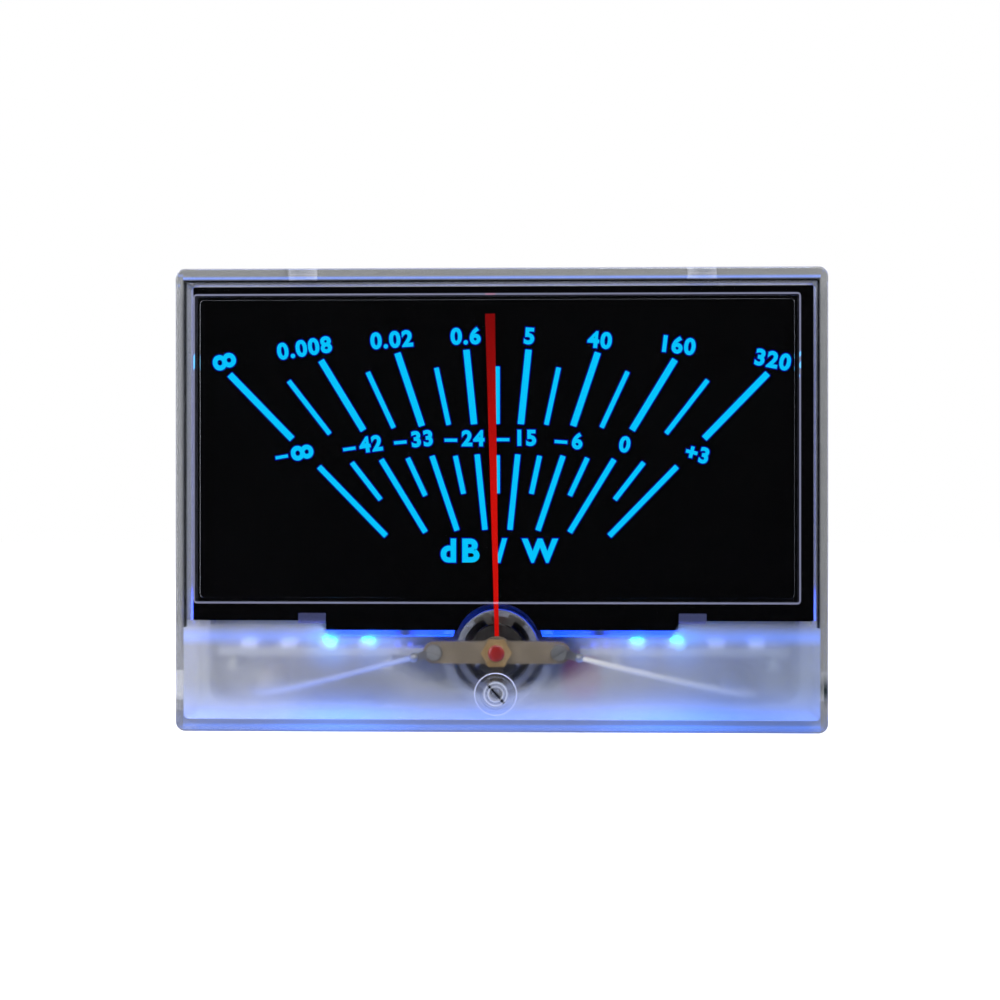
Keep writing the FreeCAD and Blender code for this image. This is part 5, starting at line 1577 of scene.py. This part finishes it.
@dataclass
class Terminals(SubAssembly):
    """The two studs at the back with their tags, washers, nuts and leads."""

    stud_x: float = 50.0
    stud_z: float = 9.0
    head_y: float = 6.0
    head_radius: float = 3.4
    seat_y: float = 7.8
    shank_radius: float = 2.0
    shank_y: float = 12.9
    end_y: float = 18.8
    core_radius: float = 1.27
    thread_radius: float = 1.5
    thread_height: float = 0.3
    thread_start: float = 13.2
    thread_turns: int = 10
    pitch: float = 0.5
    end_chamfer: float = 0.3
    end_share: float = 0.7
    stud_sides: int = 40
    lead_radius: float = 0.5
    joint: Heap = Heap(0.95, 0.15, ((0.25, 0.25), (0.25, 0.25), (0.2, 0.1)))

    def stud(self, x: float) -> Workpiece:
        """Turn one stud and lay its thread round its end.

        Args:
            x: Where it stands across the back.

        Returns:
            The stud, at its place.
        """
        start = (x, self.head_y, self.stud_z)
        head = self.seat_y - self.head_y
        stud = Workpiece.rod(start, BACK, self.head_radius, head, self.stud_sides)
        stud.pick_end(FRONT).bevel(self.end_chamfer)
        stud.pick_end(BACK).inset(self.head_radius - self.shank_radius)
        stud.push((0, self.shank_y - self.seat_y, 0)).inset(self.shank_radius - self.core_radius)
        stud.push((0, self.end_y - self.end_chamfer - self.shank_y, 0))
        stud.push((0, self.end_chamfer, 0))
        stud.stretch((self.end_share, 1.0, self.end_share), (x, self.end_y, self.stud_z))
        ridge = Workpiece.helix(
            self.thread_radius, self.thread_height, self.pitch, self.thread_turns
        )
        laid = shift(x, self.thread_start, self.stud_z) @ Matrix.Rotation(-math.pi / 2, 4, "X")
        return stud.join([ridge.lay(laid)])

    def studs(self, nickel: Material) -> None:
        """Put threaded studs in place of the plain ones."""
        pair = Workpiece.whole([self.stud(-self.stud_x), self.stud(self.stud_x)])
        piece = pair.finish("threaded_studs", Body.CASE, nickel, "stud_nickel", soft_below=30)
        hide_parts("terminal_studs")

    def tag_joints(self, solder: Material) -> None:
        """Solder the leads' far ends to the studs' tags."""
        made = []
        for name, side in (("lead_left", -1), ("lead_right", 1)):
            low, high = box_of(name)
            x = (low.x if side < 0 else high.x) - side * self.lead_radius
            start = (x, high.y, low.z + self.lead_radius)
            made.append(Workpiece.heap(start, FRONT, self.joint))
        Workpiece.whole(made).finish("terminal_joints", Body.CASE, solder, "tag_tin", soft_below=60)

    def build(self) -> None:
        """Dress the terminals and the leads."""
        # Brass, turned and nickel-plated: bright warm grey, rings drawn coarser than they are.
        plated = Turned(
            "brass_nickel_plated_turned", "C9C5BC", "B0ACA3", 0.25, 0.3, 0.003, metallic=1.0,
            middle_x=self.stud_x, middle_z=self.stud_z, pair=True,
        )
        nickel = self.dress(plated, "terminal_nuts", "terminal_washers", "terminal_studs")
        # Brass sheet, pressed and tinned: paler and duller than the plated parts.
        tag = Rolled("brass_tinned_pressed", "C3BFB6", "AAA69D", 0.34, 0.3, 0.004, metallic=1.0)
        self.dress(tag, "terminal_tags")
        # Soft polyvinyl chloride sleeve, extruded: white on the right, with a faint painted warm
        # glow. On the left, its pale blue tone and glow are painted blue light from the lamps.
        white = Finish(
            "pvc_white_extruded", "F4EEDA", "EAE4D0", 0.4, 0.6, 0.006,
            glow="FFF0D0", glow_strength=0.1,
        )
        self.dress(white, "lead_right")
        blue = Finish(
            "pvc_extruded_painted_blue_light", "AEB6D2", "A4ADCC", 0.4, 0.6, 0.006,
            glow="5C8CFF", glow_strength=0.25,
        )
        self.dress(blue, "lead_left")
        self.studs(nickel)
        # Tin solder, flowed round the wire: bright and bluish.
        solder = Finish("tin_solder_wiped", "C4C7CC", "A7ABB2", 0.25, 0.5, 0.02, metallic=1.0)
        self.tag_joints(solder.make())


@dataclass
class Studio:
    """A pale floor, soft lights and the camera."""

    camera_azimuth: float = 2.0
    camera_distance: float = 410.0
    lens: float = 72.0
    sensor: float = 36.0
    clip: tuple[float, float] = (0.01, 10.0)
    target: Point = (0.0, -18.2, 47.7)
    room: float = 0.46
    below: float = 0.3
    wall: float = 0.004
    # The room fades to its lower half over this much of a way's height, and to the wall in
    # front where a way lies this close to straight ahead.
    horizon: float = 0.15
    wall_from: float = 0.91
    wall_to: float = 0.96
    # Like the lamps' places and sizes, the floor's are metres.
    floor_size: tuple[float, float] = (2.4, 2.06)
    floor_y: float = 0.77
    # Each soft light: its name, its place, its size and its power in watts.
    lamps: tuple[tuple[str, Point, float, float], ...] = (
        ("key", (0.2, -0.5, 0.6), 0.4, 2.5),
        ("low", (-0.34, -0.4, 0.12), 0.25, 0.7),
        ("fill", (-0.5, -0.35, 0.5), 0.4, 0.8),
        ("rear_key", (-0.55, 0.3, 0.4), 0.4, 2.5),
    )

    def world(self) -> None:
        """Light the room evenly but for a dark wall straight in front and a dimmer lower half."""
        world = bpy.data.worlds.new("studio")
        world.use_nodes = True
        bpy.context.scene.world = world
        tree = world.node_tree
        tree.nodes.clear()
        way = add(tree, "TexCoord").outputs["Generated"]
        ahead = add(tree, "VectorMath", {0: way, 1: (0.0, -1.0, 0.0)}, operation="DOT_PRODUCT")
        height = add(tree, "SeparateXYZ", {"Vector": way}).outputs["Z"]
        level = {
            "Value": height,
            "From Min": -self.horizon,
            "From Max": self.horizon,
            "To Min": self.below,
            "To Max": self.room,
        }
        sides = add(tree, "MapRange", level)
        fade = {
            "Value": ahead,
            "From Min": self.wall_from,
            "From Max": self.wall_to,
            "To Min": sides,
            "To Max": self.wall,
        }
        strength = add(tree, "MapRange", fade)
        both = {
            0: add(tree, "LightPath").outputs["Is Camera Ray"],
            1: add(tree, "Background", {"Color": linear("F4F6FA"), "Strength": strength}),
            2: add(tree, "Background", {"Color": linear("FFFFFF"), "Strength": 1.0}),
        }
        add(tree, "OutputWorld", {"Surface": add(tree, "MixShader", both)})

    def floor(self) -> None:
        """Lay a white floor that only the camera sees, so that it doesn't light the meter."""
        Workpiece.rest()
        bpy.ops.mesh.primitive_plane_add(size=1, location=(0, self.floor_y, 0))
        sheet = bpy.context.object
        sheet.name = "floor"
        sheet.data.transform(Matrix.Diagonal((*self.floor_size, 1, 1)))
        # Paper, matt and white.
        paper = Finish(
            "paper_white_matt", "FFFFFF", "FDFDFD", 0.8, 2.0, 0.01,
            glow="FFFFFF", glow_strength=0.6,
        )
        sheet.data.materials.append(paper.make())
        sheet.visible_diffuse = False
        sheet.visible_glossy = False
        sheet.visible_transmission = False

    def lamp(self, name: str, place: Point, size: float, watts: float) -> None:
        """Hang one square soft light that points at the meter."""
        data = bpy.data.lights.new(name, "AREA")
        data.size = size
        data.energy = watts
        light = bpy.data.objects.new(name, data)
        light.location = place
        way = Vector(self.target) * MM - Vector(place)
        light.rotation_euler = way.to_track_quat("-Z", "Y").to_euler()
        bpy.context.scene.collection.objects.link(light)

    def camera(self) -> None:
        """Set the camera almost straight in front, a little to the right."""
        data = bpy.data.cameras.new("camera")
        data.lens = self.lens
        data.sensor_width = self.sensor
        data.clip_start, data.clip_end = self.clip
        angle = math.radians(self.camera_azimuth)
        back = Vector((math.sin(angle), -math.cos(angle), 0.0))
        camera = bpy.data.objects.new("camera", data)
        camera.location = (Vector(self.target) + back * self.camera_distance) * MM
        camera.rotation_euler = (-back).to_track_quat("-Z", "Y").to_euler()
        bpy.context.scene.collection.objects.link(camera)
        bpy.context.scene.camera = camera

    def build(self) -> None:
        """Set the whole studio."""
        bpy.context.scene.view_settings.view_transform = "Standard"
        self.world()
        self.floor()
        for lamp in self.lamps:
            self.lamp(*lamp)
        self.camera()


def main() -> None:
    """Build the meter's looks part by part."""
    logging.basicConfig(level=logging.INFO, format="%(message)s")
    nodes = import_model()["nodes"]
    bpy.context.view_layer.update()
    groups = (CaseShell, LitDial, LampBoards, Movement, SwingingCoil, ZeroAdjuster, Terminals)
    for group in groups:
        LOG.info("building %s", group.__name__)
        group(nodes).build()
    Studio().build()


if __name__ == "__main__":
    main()
